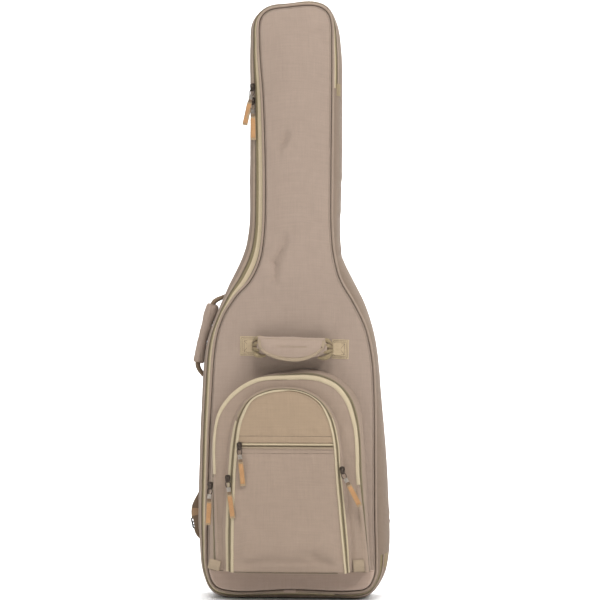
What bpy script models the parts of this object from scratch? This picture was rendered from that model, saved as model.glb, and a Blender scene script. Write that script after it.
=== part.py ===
"""Padded gig bag for an electric bass, as separate sewn pieces, zips, handles and straps.

Metres, +Z up. The front faces -Y and the origin is the centre of the flat base.
Empties stand on the joint axes and carry the pieces that move about them.
"""
import math

import bmesh
import bpy
from mathutils import Matrix, Vector

# ---- driving dimensions -------------------------------------------------------------
GAP = 0.0004                 # clearance between pieces that touch
FRONT_SEAM_Y = -0.047        # plane where the front panel is sewn to the side gusset
WIDE_Y = -0.010              # the gusset is at its widest from here ...
FLAT_END_Y = 0.030           # ... to here, and then turns in to the back seam
BACK_SEAM_Y = 0.040
BACK_FACE_Y = 0.048
PANEL_FRONT_Y = -0.0555      # outer face of the padded front panel
PANEL_BACK_Y = -0.0475
WALL = 0.0085                # padded gusset thickness
REAR_TURN = 0.008            # how far the gusset turns in at the back seam
PIPING_RADIUS = 0.0024

FRONT_TAPE = (18.0, 35.0)    # degrees round the gusset's front edge, 0 at the seam, 90 at the side
REAR_TAPE = (37.0, 52.0)
GUSSET_START = 54.0
ZIP_LINE = 36.0

# Front seam x, z and widest outline x, z at the same place, clockwise seen from the
# front: from the lower zip end at the right, round the base, the left side and the head.
OUTLINE = [
    (0.1710, 0.090, 0.1965, 0.095), (0.1690, 0.050, 0.1870, 0.048),
    (0.1530, 0.026, 0.1630, 0.012), (0.1200, 0.0205, 0.1330, 0.0),
    (0.0000, 0.022, 0.0000, 0.0), (-0.1150, 0.0175, -0.1300, 0.0),
    (-0.1500, 0.027, -0.1620, 0.012), (-0.1650, 0.058, -0.1800, 0.050),
    (-0.1670, 0.120, -0.1880, 0.130), (-0.1645, 0.260, -0.1880, 0.250),
    (-0.1590, 0.400, -0.1820, 0.405), (-0.1500, 0.518, -0.1720, 0.518),
    (-0.1360, 0.567, -0.1555, 0.567), (-0.1100, 0.609, -0.1360, 0.614),
    (-0.0790, 0.644, -0.1150, 0.658), (-0.0600, 0.686, -0.0960, 0.700),
    (-0.0525, 0.735, -0.0865, 0.740), (-0.0500, 0.820, -0.0840, 0.820),
    (-0.0540, 1.000, -0.0830, 1.000), (-0.0620, 1.120, -0.0830, 1.120),
    (-0.0600, 1.168, -0.0770, 1.172), (-0.0440, 1.186, -0.0500, 1.1985),
    (0.0000, 1.193, 0.0000, 1.206), (0.0450, 1.1955, 0.0440, 1.2095),
    (0.0690, 1.187, 0.0730, 1.199), (0.0810, 1.167, 0.0900, 1.170),
    (0.0835, 1.110, 0.0990, 1.115), (0.0835, 1.030, 0.1010, 1.030),
    (0.0820, 0.860, 0.1000, 0.860), (0.0825, 0.740, 0.0970, 0.740),
    (0.0875, 0.690, 0.1010, 0.693), (0.1000, 0.644, 0.1190, 0.652),
    (0.1270, 0.597, 0.1440, 0.603), (0.1500, 0.549, 0.1620, 0.553),
    (0.1630, 0.492, 0.1730, 0.497), (0.1680, 0.420, 0.1800, 0.420),
    (0.1690, 0.300, 0.1900, 0.300), (0.1695, 0.160, 0.1970, 0.165),
]
HEAD_ZIP_END = 27            # row of the outline where the zip ends beside the head
HINGE_CROSSING = 32          # row where the front seam crosses the hinge line
RING_SPACING = 0.042

# The front cover folds along a straight line down its right side.
HINGE_TOP = Vector((0.085, -0.0557, 1.170))
HINGE_BASE = Vector((0.176, -0.0557, 0.075))

# Pocket arches from the lower left over the top to the lower right: x, z of the seam
# on the bag, then x, z of the pocket's front edge.
POCKET_BASE_Z = 0.0650
LARGE_POCKET = [
    (-0.1625, POCKET_BASE_Z, -0.1440, POCKET_BASE_Z), (-0.1630, 0.150, -0.1470, 0.150),
    (-0.1600, 0.265, -0.1500, 0.255), (-0.1535, 0.340, -0.1500, 0.330),
    (-0.1360, 0.386, -0.1400, 0.380), (-0.1030, 0.424, -0.1110, 0.419),
    (-0.0550, 0.450, -0.0640, 0.447), (0.0000, 0.463, 0.0000, 0.453),
    (0.0520, 0.465, 0.0540, 0.452), (0.0950, 0.449, 0.0940, 0.436),
    (0.1270, 0.421, 0.1180, 0.407), (0.1430, 0.385, 0.1300, 0.372),
    (0.1490, 0.335, 0.1370, 0.330), (0.1540, 0.255, 0.1400, 0.250),
    (0.1580, 0.140, 0.1520, 0.140), (0.1620, POCKET_BASE_Z, 0.1590, POCKET_BASE_Z),
]
SMALL_POCKET = [
    (-0.1300, POCKET_BASE_Z, -0.1120, POCKET_BASE_Z), (-0.1320, 0.150, -0.1115, 0.150),
    (-0.1270, 0.240, -0.1090, 0.235), (-0.1210, 0.320, -0.1025, 0.318),
    (-0.1100, 0.369, -0.0945, 0.366), (-0.0860, 0.406, -0.0730, 0.405),
    (-0.0480, 0.427, -0.0420, 0.421), (-0.0100, 0.432, -0.0100, 0.426),
    (0.0280, 0.428, 0.0270, 0.422), (0.0680, 0.407, 0.0600, 0.404),
    (0.0930, 0.373, 0.0815, 0.371), (0.1050, 0.325, 0.0930, 0.321),
    (0.1090, 0.275, 0.0965, 0.275), (0.1200, 0.190, 0.1035, 0.190),
    (0.1260, 0.120, 0.1095, 0.125), (0.1270, POCKET_BASE_Z, 0.1150, POCKET_BASE_Z),
]
POCKET_SPACING = 0.034
POCKET_WALL = 0.004
LARGE_GUSSET_Y = (-0.0559, -0.0800)
LARGE_TAPE_Y = (-0.0804, -0.0874)
LARGE_FRONT_Y = (-0.0878, -0.0925)
SMALL_GUSSET_Y = (-0.0929, -0.1060)
SMALL_TAPE_Y = (-0.1064, -0.1114)
SMALL_FRONT_Y = (-0.1118, -0.1160)
FLAT_ZIP_Z = (0.3110, 0.3195)

BODY_PIVOTS = {
    "front_cover": (None, HINGE_BASE),
    "large_pocket_flap": ("front_cover", Vector((0.0, -0.0840, POCKET_BASE_Z))),
    "small_pocket_flap": ("large_pocket_flap", Vector((0.0, -0.1090, POCKET_BASE_Z))),
    "front_handle": ("front_cover", Vector((0.0080, -0.0606, 0.5083))),
    "handle_flap": ("front_handle", Vector((0.0080, -0.0920, 0.5290))),
    "side_handle": (None, Vector((-0.1835, 0.0, 0.4500))),
    "shoulder_strap_left": (None, Vector((-0.1180, 0.0560, 0.4600))),
    "shoulder_strap_right": (None, Vector((0.1300, 0.0560, 0.4600))),
}

COLOURS = {
    "shell_fabric": ((0.42, 0.33, 0.27), 0.85, 0.0),
    "pocket_fabric": ((0.38, 0.29, 0.23), 0.85, 0.0),
    "patch_fabric": ((0.43, 0.33, 0.24), 0.85, 0.0),
    "webbing": ((0.47, 0.37, 0.25), 0.80, 0.0),
    "piping": ((0.55, 0.46, 0.33), 0.70, 0.0),
    "zip_tape": ((0.58, 0.48, 0.33), 0.75, 0.0),
    "lining": ((0.10, 0.09, 0.08), 0.95, 0.0),
    "foam": ((0.06, 0.06, 0.06), 0.95, 0.0),
    "leather": ((0.55, 0.32, 0.15), 0.55, 0.0),
    "gunmetal": ((0.09, 0.09, 0.10), 0.35, 1.0),
    "plastic": ((0.03, 0.03, 0.03), 0.45, 0.0),
}


# ---- helpers ------------------------------------------------------------------------
def material(name):
    """The named Principled material, made on first use."""
    found = bpy.data.materials.get(name)
    if found:
        return found
    colour, roughness, metallic = COLOURS[name]
    made = bpy.data.materials.new(name)
    made.use_nodes = True
    shader = made.node_tree.nodes["Principled BSDF"]
    shader.inputs["Base Color"].default_value = (*colour, 1.0)
    shader.inputs["Roughness"].default_value = roughness
    shader.inputs["Metallic"].default_value = metallic
    return made


def finish(obj, slot, body=None):
    """Give an object its material, put it in the bag's collection and hang it on a body."""
    obj.data.materials.append(material(slot))
    for held_in in list(obj.users_collection):
        held_in.objects.unlink(obj)
    bpy.data.collections["padded_gig_bag"].objects.link(obj)
    if body:
        hang(obj, body)
    return obj


def hang(obj, body):
    """Parent an object to the empty of its body without moving it."""
    obj.parent = bpy.data.objects["pivot_" + body]
    obj.matrix_parent_inverse = Matrix.Translation(-BODY_PIVOTS[body][1])


def add_pivots():
    """One empty on the axis of every moving body."""
    for body, (parent, pivot) in BODY_PIVOTS.items():
        empty = bpy.data.objects.new("pivot_" + body, None)
        empty.location = pivot
        empty.empty_display_size = 0.02
        bpy.data.collections["padded_gig_bag"].objects.link(empty)
        if parent:
            hang(empty, parent)


def smooth_path(rows, spacing, closed=False):
    """Samples of a smooth curve through the rows, and each row's place among them."""
    knots = [Vector(row) for row in rows]
    last = len(knots)
    samples = []
    marks = []
    for i in range(last if closed else last - 1):
        p1 = knots[i]
        p2 = knots[(i + 1) % last]
        p0 = knots[i - 1] if closed or i else p1 + (p1 - p2)
        p3 = knots[(i + 2) % last] if closed or i + 2 < last else p2 + (p2 - p1)
        before, along, after = (math.sqrt((b - a).length) for a, b in ((p0, p1), (p1, p2), (p2, p3)))
        leave = (p2 - p1) + ((p1 - p0) / before - (p2 - p0) / (before + along)) * along
        arrive = (p2 - p1) + ((p3 - p2) / after - (p3 - p1) / (along + after)) * along
        steps = max(1, round((p2 - p1).length / spacing))
        marks.append(len(samples))
        for step in range(steps):
            t = step / steps
            cubic = (p1 - p2) * 2 + leave + arrive
            square = (p2 - p1) * 3 - leave * 2 - arrive
            samples.append(((cubic * t + square) * t + leave) * t + p1)
    if not closed:
        marks.append(len(samples))
        samples.append(knots[-1])
    return samples, marks


def outward(points, closed=False):
    """Unit normals of a clockwise run of x, z points, pointing away from its inside."""
    normals = []
    last = len(points) - 1
    for i in range(len(points)):
        ahead = points[(i + 1) % len(points)] if closed or i < last else points[last]
        behind = points[i - 1] if closed or i else points[0]
        along = ahead - behind
        normals.append(Vector((-along.y, along.x)).normalized())
    return normals


def grow(points, normals, distance):
    """The outline moved outwards by a distance, and never below the base."""
    moved = [p + n * distance for p, n in zip(points, normals)]
    return [Vector((p.x, max(p.y, 0.0))) for p in moved]


def clip(points, origin, normal):
    """The part of an x, z outline behind the line through origin with this normal."""
    kept = []
    for i, here in enumerate(points):
        before = points[i - 1]
        side_here = (here - origin).dot(normal)
        side_before = (before - origin).dot(normal)
        if side_here * side_before < 0:
            kept.append(before.lerp(here, side_before / (side_before - side_here)))
        if side_here <= 0:
            kept.append(here)
    return kept


def plate(name, outline, y_front, y_back, slot, body=None):
    """A flat piece: an x, z outline filled and thickened between two planes."""
    curve = bpy.data.curves.new(name, "CURVE")
    curve.dimensions = "2D"
    curve.fill_mode = "BOTH"
    curve.extrude = abs(y_back - y_front) / 2
    spline = curve.splines.new("POLY")
    spline.points.add(len(outline) - 1)
    for point, place in zip(spline.points, outline):
        point.co = (place.x, place.y, 0.0, 1.0)
    spline.use_cyclic_u = True
    obj = bpy.data.objects.new(name, curve)
    obj.location = (0.0, (y_front + y_back) / 2, 0.0)
    obj.rotation_euler = (math.pi / 2, 0.0, 0.0)
    bpy.context.scene.collection.objects.link(obj)
    return finish(obj, slot, body)


def tube(name, points, radius, slot, body=None, closed=False, sides=1):
    """A cord of round section along the points."""
    curve = bpy.data.curves.new(name, "CURVE")
    curve.dimensions = "3D"
    curve.bevel_depth = radius
    curve.bevel_resolution = sides
    curve.use_fill_caps = True
    spline = curve.splines.new("POLY")
    spline.points.add(len(points) - 1)
    for point, place in zip(spline.points, points):
        point.co = (*place, 1.0)
    spline.use_cyclic_u = closed
    obj = bpy.data.objects.new(name, curve)
    bpy.context.scene.collection.objects.link(obj)
    return finish(obj, slot, body)


def loft(name, sections, slot, body=None, closed=False):
    """A solid through matching cross-sections, capped at the ends unless it closes."""
    shape = bmesh.new()
    rings = [[shape.verts.new(corner) for corner in section] for section in sections]
    size = len(rings[0])
    for i in range(len(rings) if closed else len(rings) - 1):
        here = rings[i]
        there = rings[(i + 1) % len(rings)]
        for k in range(size):
            shape.faces.new((here[k - 1], here[k], there[k], there[k - 1]))
    if not closed:
        shape.faces.new(rings[0])
        shape.faces.new(reversed(rings[-1]))
    bmesh.ops.recalc_face_normals(shape, faces=shape.faces)
    mesh = bpy.data.meshes.new(name)
    shape.to_mesh(mesh)
    shape.free()
    obj = bpy.data.objects.new(name, mesh)
    bpy.context.scene.collection.objects.link(obj)
    return finish(obj, slot, body)


def block(name, size, place, slot, body=None, turn=(0.0, 0.0, 0.0), edge=0.001):
    """A box with softened edges."""
    bpy.ops.mesh.primitive_cube_add(size=1.0)
    obj = bpy.context.object
    obj.name = name
    obj.data.name = name
    obj.data.transform(Matrix.Diagonal((*size, 1.0)))
    obj.location = place
    obj.rotation_euler = turn
    bevel = obj.modifiers.new("soft edges", "BEVEL")
    bevel.width = edge
    bevel.segments = 1
    return finish(obj, slot, body)


def strap(name, route, width, thickness, slot, body=None, spacing=0.03, across=None, ends=1.0):
    """A flat strap along a route; across is the direction of its width.

    ends is the share of the width that is left where the strap is gathered at its ends.
    """
    samples, _ = smooth_path(route, spacing)
    last = len(samples) - 1
    across = (across or Vector((0.0, 0.0, 1.0))).normalized()
    sections = []
    for i, here in enumerate(samples):
        along = samples[min(i + 1, last)] - samples[max(i - 1, 0)]
        side = (across - along * (across.dot(along) / along.length_squared)).normalized()
        up = along.cross(side).normalized()
        w = side * (width / 2 * (ends + (1.0 - ends) * math.sin(math.pi * i / last)))
        t = up * thickness / 2
        sections.append([here - w - t, here + w - t, here + w + t, here - w + t])
    return loft(name, sections, slot, body)


# ---- the bag's outline as stations round the ring -------------------------------------
RING, ROW_AT = smooth_path(OUTLINE, RING_SPACING, closed=True)
SEAM = [Vector((p[0], p[1])) for p in RING]
WIDE = [Vector((p[2], max(p[3], 0.0))) for p in RING]
SEAM_OUT = outward(SEAM, closed=True)
WIDE_OUT = outward(WIDE, closed=True)
ZIP_STATIONS = range(0, ROW_AT[HEAD_ZIP_END] + 1)
HINGE_STATIONS = range(ROW_AT[HEAD_ZIP_END], len(RING))
CROSSING = ROW_AT[HINGE_CROSSING]


def edge_point(i, angle, lift=0.0):
    """A point on the gusset's rounded front edge, raised off its surface by lift."""
    turn = math.radians(angle)
    reach = WIDE[i] - SEAM[i]
    depth = WIDE_Y - FRONT_SEAM_Y
    place = SEAM[i] + reach * math.sin(turn)
    y = FRONT_SEAM_Y + depth * (1.0 - math.cos(turn))
    out = reach.normalized() * (math.sin(turn) / reach.length)
    normal = Vector((out.x, -math.cos(turn) / depth, out.y)).normalized()
    return Vector((place.x, y, place.y)) + normal * lift


def left_edge_point(height, angle, lift=0.0):
    """A point on the rounded front edge of the left side at a given height."""
    for i in range(len(RING) - 1):
        low = edge_point(i, angle, lift)
        high = edge_point(i + 1, angle, lift)
        if low.x < 0 and high.x < 0 and low.z <= height < high.z:
            return low.lerp(high, (height - low.z) / (high.z - low.z))
    raise ValueError("no station at this height")


def ring_piping(offset, y, stations, outline, normals):
    """The centre line of a piping round an outline."""
    line = grow(outline, normals, offset)
    return [Vector((line[i].x, y, line[i].y)) for i in stations]


# ---- the shell ------------------------------------------------------------------------
def make_gusset():
    """The padded side wall round the whole bag, behind the zip."""
    inner = grow(WIDE, WIDE_OUT, -WALL)
    rear = grow(WIDE, WIDE_OUT, -REAR_TURN)
    rear_inner = grow(WIDE, WIDE_OUT, -REAR_TURN - WALL)
    sections = []
    for i in range(len(RING)):
        sections.append([
            edge_point(i, GUSSET_START), edge_point(i, 72.0),
            Vector((WIDE[i].x, WIDE_Y, WIDE[i].y)), Vector((WIDE[i].x, FLAT_END_Y, WIDE[i].y)),
            Vector((rear[i].x, BACK_SEAM_Y, rear[i].y)),
            Vector((rear_inner[i].x, BACK_SEAM_Y, rear_inner[i].y)),
            Vector((inner[i].x, FLAT_END_Y, inner[i].y)),
            Vector((inner[i].x, WIDE_Y, inner[i].y)), edge_point(i, GUSSET_START, -0.004),
        ])
    loft("side_gusset", sections, "shell_fabric", closed=True)


def edge_strip(name, stations, angles, slot, body=None, lift=0.0, thickness=0.0025):
    """A tape or fabric strip lying on the rounded front edge."""
    sections = []
    for i in stations:
        sections.append([
            edge_point(i, angles[0], lift), edge_point(i, angles[1], lift),
            edge_point(i, angles[1], lift - thickness), edge_point(i, angles[0], lift - thickness),
        ])
    return loft(name, sections, slot, body)


def make_shell():
    """Everything sewn to the fixed shell of the bag, inside and out."""
    make_gusset()
    back = grow(WIDE, WIDE_OUT, -REAR_TURN + 0.001)
    plate("back_panel", back, BACK_SEAM_Y + GAP, BACK_FACE_Y, "shell_fabric")
    plate("back_lining", grow(WIDE, WIDE_OUT, -0.018), 0.0355, BACK_SEAM_Y, "lining")
    everywhere = range(len(RING))
    welt = ring_piping(-0.0036, 0.0438, everywhere, WIDE, WIDE_OUT)
    tube("rear_piping", welt, 0.0026, "piping", closed=True)
    edge_strip("rear_zip_tape", ZIP_STATIONS, REAR_TAPE, "zip_tape")
    between_ends = list(HINGE_STATIONS)[1:]
    edge_strip("hinge_gusset", between_ends, (12.0, 52.0), "shell_fabric", thickness=0.003)
    line_point, line_normal = hinge_line()
    sliver = clip(SEAM, line_point + line_normal * GAP, -line_normal)
    plate("hinge_panel", sliver, PANEL_FRONT_Y, PANEL_BACK_Y, "shell_fabric")
    block("end_pin_pad", (0.180, 0.052, 0.024), (0.0, 0.004, 0.0215), "foam", edge=0.004)


def make_neck_rest():
    """The foam cradle that takes the neck, with the strap that holds it down."""
    middle = 0.009
    width = 0.118
    notch = 0.026
    groove = []
    for step in range(9):
        turn = math.pi * step / 8
        groove.append(Vector((middle + notch * math.cos(turn), 0.006 + notch * 0.8 * math.sin(turn))))
    half = width / 2
    corners = [Vector((middle - half, 0.006)), Vector((middle - half, 0.0350)),
               Vector((middle + half, 0.0350)), Vector((middle + half, 0.006))]
    section = groove + corners
    low, high = 0.935, 1.000
    loft("neck_cradle", [[Vector((p.x, p.y, z)) for p in section] for z in (low, high)], "foam")
    height = (low + high) / 2
    profile = ((-half - 0.004, 0.020), (-half - 0.002, 0.0035), (0.0, -0.004), (half + 0.002, 0.0035),
               (half + 0.004, 0.020))
    route = [Vector((middle + x, y, height)) for x, y in profile]
    strap("neck_strap", route, 0.025, 0.0022, "webbing", spacing=0.015)


# ---- the front cover -------------------------------------------------------------------
def hinge_line():
    """A point on the hinge line and the x, z normal that points to the fixed side."""
    base = Vector((HINGE_BASE.x, HINGE_BASE.z))
    along = (Vector((HINGE_TOP.x, HINGE_TOP.z)) - base).normalized()
    return base, Vector((along.y, -along.x))


def make_cover():
    """The padded front with its piping, lining, zip half and sewn-on pieces."""
    body = "front_cover"
    base, normal = hinge_line()
    plate("front_panel", clip(SEAM, base - normal * GAP, normal), PANEL_FRONT_Y, PANEL_BACK_Y,
          "shell_fabric", body)
    lining = clip(grow(SEAM, SEAM_OUT, -0.012), base - normal * 0.008, normal)
    plate("front_lining", lining, -0.0470, -0.0440, "lining", body)
    free = ring_piping(0.0032, -0.0515, range(0, CROSSING), SEAM, SEAM_OUT)
    tube("front_piping", free, PIPING_RADIUS, "piping", body)
    edge_strip("front_zip_tape", ZIP_STATIONS, FRONT_TAPE, "zip_tape", body)
    band = clip(grow(SEAM, SEAM_OUT, -0.002), Vector((0.0, 0.0637)), Vector((0.0, 1.0)))
    plate("base_band", band, -0.0582, PANEL_FRONT_Y - GAP, "pocket_fabric", body)
    for side, x, z in (("left", -0.0835, 0.5115), ("right", 0.1010, 0.5055)):
        block("handle_patch_" + side, (0.034, 0.0022, 0.0365), (x, -0.0570, z), "webbing", body,
              edge=0.0005)


def pocket_wall(name, rows, planes, blend, wall, slot, body, closed=False):
    """An arch-shaped wall between two planes; blend picks its seam and front outlines.

    A closed wall also runs along the bottom of the pocket.
    """
    samples, _ = smooth_path(rows, POCKET_SPACING)
    if closed:
        samples += [samples[-1].lerp(samples[0], share) for share in (0.25, 0.5, 0.75)]
    outlines = []
    for share in blend:
        run = [Vector((p[0], p[1])).lerp(Vector((p[2], p[3])), share) for p in samples]
        outlines.append((run, [p - n * wall for p, n in zip(run, outward(run, closed))]))
    (near, near_in), (far, far_in) = outlines
    sections = []
    for i in range(len(samples)):
        sections.append([
            Vector((near[i].x, planes[0], near[i].y)), Vector((far[i].x, planes[1], far[i].y)),
            Vector((far_in[i].x, planes[1], far_in[i].y)),
            Vector((near_in[i].x, planes[0], near_in[i].y)),
        ])
    return loft(name, sections, slot, body, closed)


def pocket_face(rows, inset=0.0):
    """The outline of a pocket's front face."""
    samples, _ = smooth_path(rows, POCKET_SPACING)
    run = [Vector((p[2], p[3])) for p in samples]
    return [p - n * inset for p, n in zip(run, outward(run))]


def make_pockets():
    """The large pocket, the smaller one on it and the flat one on that."""
    cover, large, small = "front_cover", "large_pocket_flap", "small_pocket_flap"
    pocket_wall("large_pocket_gusset", LARGE_POCKET, LARGE_GUSSET_Y, (0.0, 0.8), POCKET_WALL,
                "pocket_fabric", cover, closed=True)
    pocket_wall("large_pocket_zip_tape", LARGE_POCKET, LARGE_TAPE_Y, (0.8, 1.0), 0.003,
                "zip_tape", large)
    plate("large_pocket_front", pocket_face(LARGE_POCKET), *LARGE_FRONT_Y, "pocket_fabric", large)
    pocket_wall("small_pocket_gusset", SMALL_POCKET, SMALL_GUSSET_Y, (0.0, 0.75), POCKET_WALL,
                "pocket_fabric", large, closed=True)
    pocket_wall("small_pocket_zip_tape", SMALL_POCKET, SMALL_TAPE_Y, (0.75, 1.0), 0.003,
                "zip_tape", small)
    face = pocket_face(SMALL_POCKET)
    up = Vector((0.0, 1.0))
    low = Vector((0.0, FLAT_ZIP_Z[0]))
    high = Vector((0.0, FLAT_ZIP_Z[1]))
    plate("small_pocket_front", clip(face, low, up), *SMALL_FRONT_Y, "pocket_fabric", small)
    plate("small_pocket_top_panel", clip(face, high, -up), *SMALL_FRONT_Y, "patch_fabric", small)
    seam = Vector((0.0, GAP))
    strip = clip(clip(face, high - seam, up), low + seam, -up)
    plate("flat_pocket_zip_tape", strip, SMALL_FRONT_Y[0], SMALL_FRONT_Y[1] - 0.0006, "zip_tape", small)
    for side, x in (("left", -0.1490), ("right", 0.1400)):
        block("loop_tab_" + side, (0.022, 0.0026, 0.018), (x, -0.0945, 0.0745), "webbing", large,
              edge=0.0006)


# ---- handles ----------------------------------------------------------------------------
def oval_bar(name, ends, radii, slot, body, rings=9, sides=12, pinch=0.72):
    """A padded grip: an oval bar that narrows towards its ends."""
    start, stop = ends
    along = (stop - start).normalized()
    side = Vector((0.0, 1.0, 0.0))
    up = along.cross(side).normalized()
    sections = []
    for step in range(rings):
        t = step / (rings - 1)
        swell = pinch + (1.0 - pinch) * math.sin(math.pi * t) ** 0.35
        centre = start.lerp(stop, t)
        section = []
        for k in range(sides):
            turn = math.tau * k / sides
            section.append(centre + side * (radii[0] * swell * math.cos(turn))
                           + up * (radii[1] * swell * math.sin(turn)))
        sections.append(section)
    return loft(name, sections, slot, body)


def make_front_handle():
    """The padded carrying handle on the front, with the flap that wraps it."""
    body = "front_handle"
    route = [Vector((-0.0840, -0.0606, 0.5110)), Vector((-0.0700, -0.0625, 0.5105)),
             Vector((-0.0560, -0.0690, 0.5100)), Vector((0.0080, -0.0710, 0.5090)),
             Vector((0.0740, -0.0690, 0.5070)), Vector((0.0880, -0.0625, 0.5060)),
             Vector((0.1010, -0.0606, 0.5055))]
    strap("front_handle_webbing", route, 0.030, 0.0028, "webbing", body, 0.012, ends=0.15)
    ends = (Vector((-0.0620, -0.0835, 0.5105)), Vector((0.0780, -0.0835, 0.5065)))
    oval_bar("front_handle_pad", ends, (0.0105, 0.0215), "shell_fabric", body)
    flap = []
    for step in range(9):
        t = step / 8
        x = -0.0600 + 0.1360 * t
        lift = 0.0345 * math.sin(math.pi * t) ** 0.5
        flap.append((x, lift))
    sections = []
    for x, drop in flap:
        top = 0.5290 - 0.0035 * (x + 0.06) / 0.136
        depth = max(drop, 0.004) + 0.010
        sections.append([
            Vector((x, -0.0950, top)), Vector((x, -0.0985, top - depth * 0.5)),
            Vector((x, -0.0955, top - depth)), Vector((x, -0.0975, top - depth - 0.0004)),
            Vector((x, -0.1010, top - depth * 0.5)), Vector((x, -0.0972, top + 0.0006)),
        ])
    loft("front_handle_flap", sections, "shell_fabric", "handle_flap")


def make_side_handle():
    """The suitcase handle on the left gusset."""
    body = "side_handle"
    top = Vector((-0.1654, 0.0, 0.5965))
    low = Vector((-0.1938, 0.0, 0.4765))
    oval_bar("side_handle_grip", (top, low), (0.0125, 0.0090), "shell_fabric", body, pinch=0.85)
    along = (low - top).normalized()
    upper = [top - along * 0.001, top - along * 0.007, Vector((-0.1530, 0.0, 0.6110)),
             Vector((-0.1410, 0.0, 0.6125))]
    lower = [low + along * 0.001, low + along * 0.009, Vector((-0.1935, 0.0, 0.4565)),
             Vector((-0.1835, 0.0, 0.4500))]
    across = Vector((0.0, 1.0, 0.0))
    for name, route in (("upper", upper), ("lower", lower)):
        strap("side_handle_webbing_" + name, route, 0.024, 0.004, "webbing", body, 0.010, across, 0.35)


# ---- shoulder straps at the back ----------------------------------------------------------
def make_straps():
    """Two padded shoulder straps, their adjusting webbing, buckles and anchors."""
    yoke = [Vector((-0.060, 0.770)), Vector((-0.045, 0.840)), Vector((0.065, 0.840)),
            Vector((0.080, 0.770))]
    plate("strap_yoke", yoke, BACK_FACE_Y + GAP, 0.0520, "webbing")
    middle = 0.009
    sideways = Vector((1.0, 0.0, 0.0))
    for name, side, edge in (("left", -1.0, -0.188), ("right", 1.0, 0.172)):
        body = "shoulder_strap_" + name
        top = Vector((middle + side * 0.038, 0.0600, 0.767))
        pad = [top, Vector((middle + side * 0.054, 0.0740, 0.690)),
               Vector((middle + side * 0.095, 0.0830, 0.560)),
               Vector((middle + side * 0.128, 0.0790, 0.420)), Vector((middle + side * 0.146, 0.0700, 0.320))]
        strap("shoulder_pad_" + name, pad, 0.066, 0.013, "shell_fabric", body, 0.03, sideways, 0.4)
        webbing = [Vector((middle + side * 0.148, 0.0690, 0.312)),
                   Vector((edge + side * -0.016, 0.0640, 0.250)), Vector((edge - side * 0.004, 0.0570, 0.208)),
                   Vector((edge + side * 0.014, 0.0540, 0.172)), Vector((edge + side * 0.013, 0.0540, 0.157))]
        strap("strap_webbing_" + name, webbing, 0.025, 0.002, "webbing", body, 0.02, sideways)
        block("ladder_lock_" + name, (0.033, 0.008, 0.022), (edge + side * 0.009, 0.0540, 0.1435),
              "plastic", None, (0.0, math.radians(side * 12.0), 0.0), 0.002)
        stub = [Vector((edge + side * 0.007, 0.0540, 0.1275)), Vector((edge + side * 0.004, 0.0535, 0.121)),
                Vector((edge - side * 0.012, 0.0520, 0.112))]
        strap("strap_anchor_" + name, stub, 0.025, 0.0035, "webbing", None, 0.012, sideways)


# ---- zip sliders and pulls -----------------------------------------------------------------
def make_zip(name, place, carrier, lean=0.0, turn=0.0):
    """A slider, its ring and its leather tab; lean tips the pull sideways, in degrees."""
    slider_body = name + "_slider"
    pull_body = name + "_pull"
    hook = place + Vector((0.0, -0.0042, -0.0040))
    for body, parent, pivot in ((slider_body, carrier, place), (pull_body, slider_body, hook)):
        BODY_PIVOTS[body] = (parent, pivot)
        empty = bpy.data.objects.new("pivot_" + body, None)
        empty.location = pivot
        empty.empty_display_size = 0.006
        bpy.data.collections["padded_gig_bag"].objects.link(empty)
        if parent:
            hang(empty, parent)
    block(slider_body, (0.0085, 0.0040, 0.0150), place, "gunmetal", slider_body, (0.0, turn, 0.0), 0.001)
    tip = Matrix.Rotation(math.radians(lean), 4, "Y")
    down = tip @ Vector((0.0, 0.0, -1.0))
    ring = []
    for step in range(10):
        angle = math.tau * step / 10
        local = Vector((0.0038 * math.cos(angle), 0.0, 0.0065 * math.sin(angle) - 0.0065))
        ring.append(hook + tip @ local)
    tube(name + "_pull_ring", ring, 0.0009, "gunmetal", pull_body, closed=True)
    block(name + "_pull_tab", (0.0092, 0.0022, 0.0580), hook + down * 0.0450, "leather", pull_body,
          (0.0, math.radians(lean), 0.0), 0.0005)


def make_zips():
    """Six sliders: two on the main zip and four on the pockets."""
    high = left_edge_point(1.10, ZIP_LINE, 0.0042)
    low = left_edge_point(0.80, ZIP_LINE, 0.0042)
    turn = math.atan2(high.x - low.x, high.z - low.z)
    for name, z, lean in (("main_zip_upper", 1.033, 22.0), ("main_zip_lower", 1.005, -1.0)):
        make_zip(name, low.lerp(high, (z - low.z) / (high.z - low.z)), None, lean, turn)
    make_zip("large_pocket", Vector((-0.1577, -0.0850, 0.233)), "large_pocket_flap", 3.0)
    make_zip("small_pocket_left", Vector((-0.1190, -0.1150, 0.250)), "small_pocket_flap", -4.0)
    make_zip("small_pocket_right", Vector((0.1080, -0.1150, 0.268)), "small_pocket_flap", -28.0)
    make_zip("flat_pocket", Vector((-0.0955, -0.1197, 0.3150)), "small_pocket_flap", 1.0)


def main():
    """Clear the scene and build the bag."""
    for obj in list(bpy.data.objects):
        bpy.data.objects.remove(obj, do_unlink=True)
    collection = bpy.data.collections.new("padded_gig_bag")
    bpy.context.scene.collection.children.link(collection)
    add_pivots()
    make_shell()
    make_neck_rest()
    make_cover()
    make_pockets()
    make_front_handle()
    make_side_handle()
    make_straps()
    make_zips()


main()
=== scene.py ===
"""Looks of the padded gig bag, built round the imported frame.

Metres, +Z up, the front faces -Y and the bag stands on z = 0.
"""
import math

import bpy
import numpy as np
from mathutils import Matrix, Vector, noise
from mathutils.bvhtree import BVHTree
from mathutils.geometry import delaunay_2d_cdt


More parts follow.
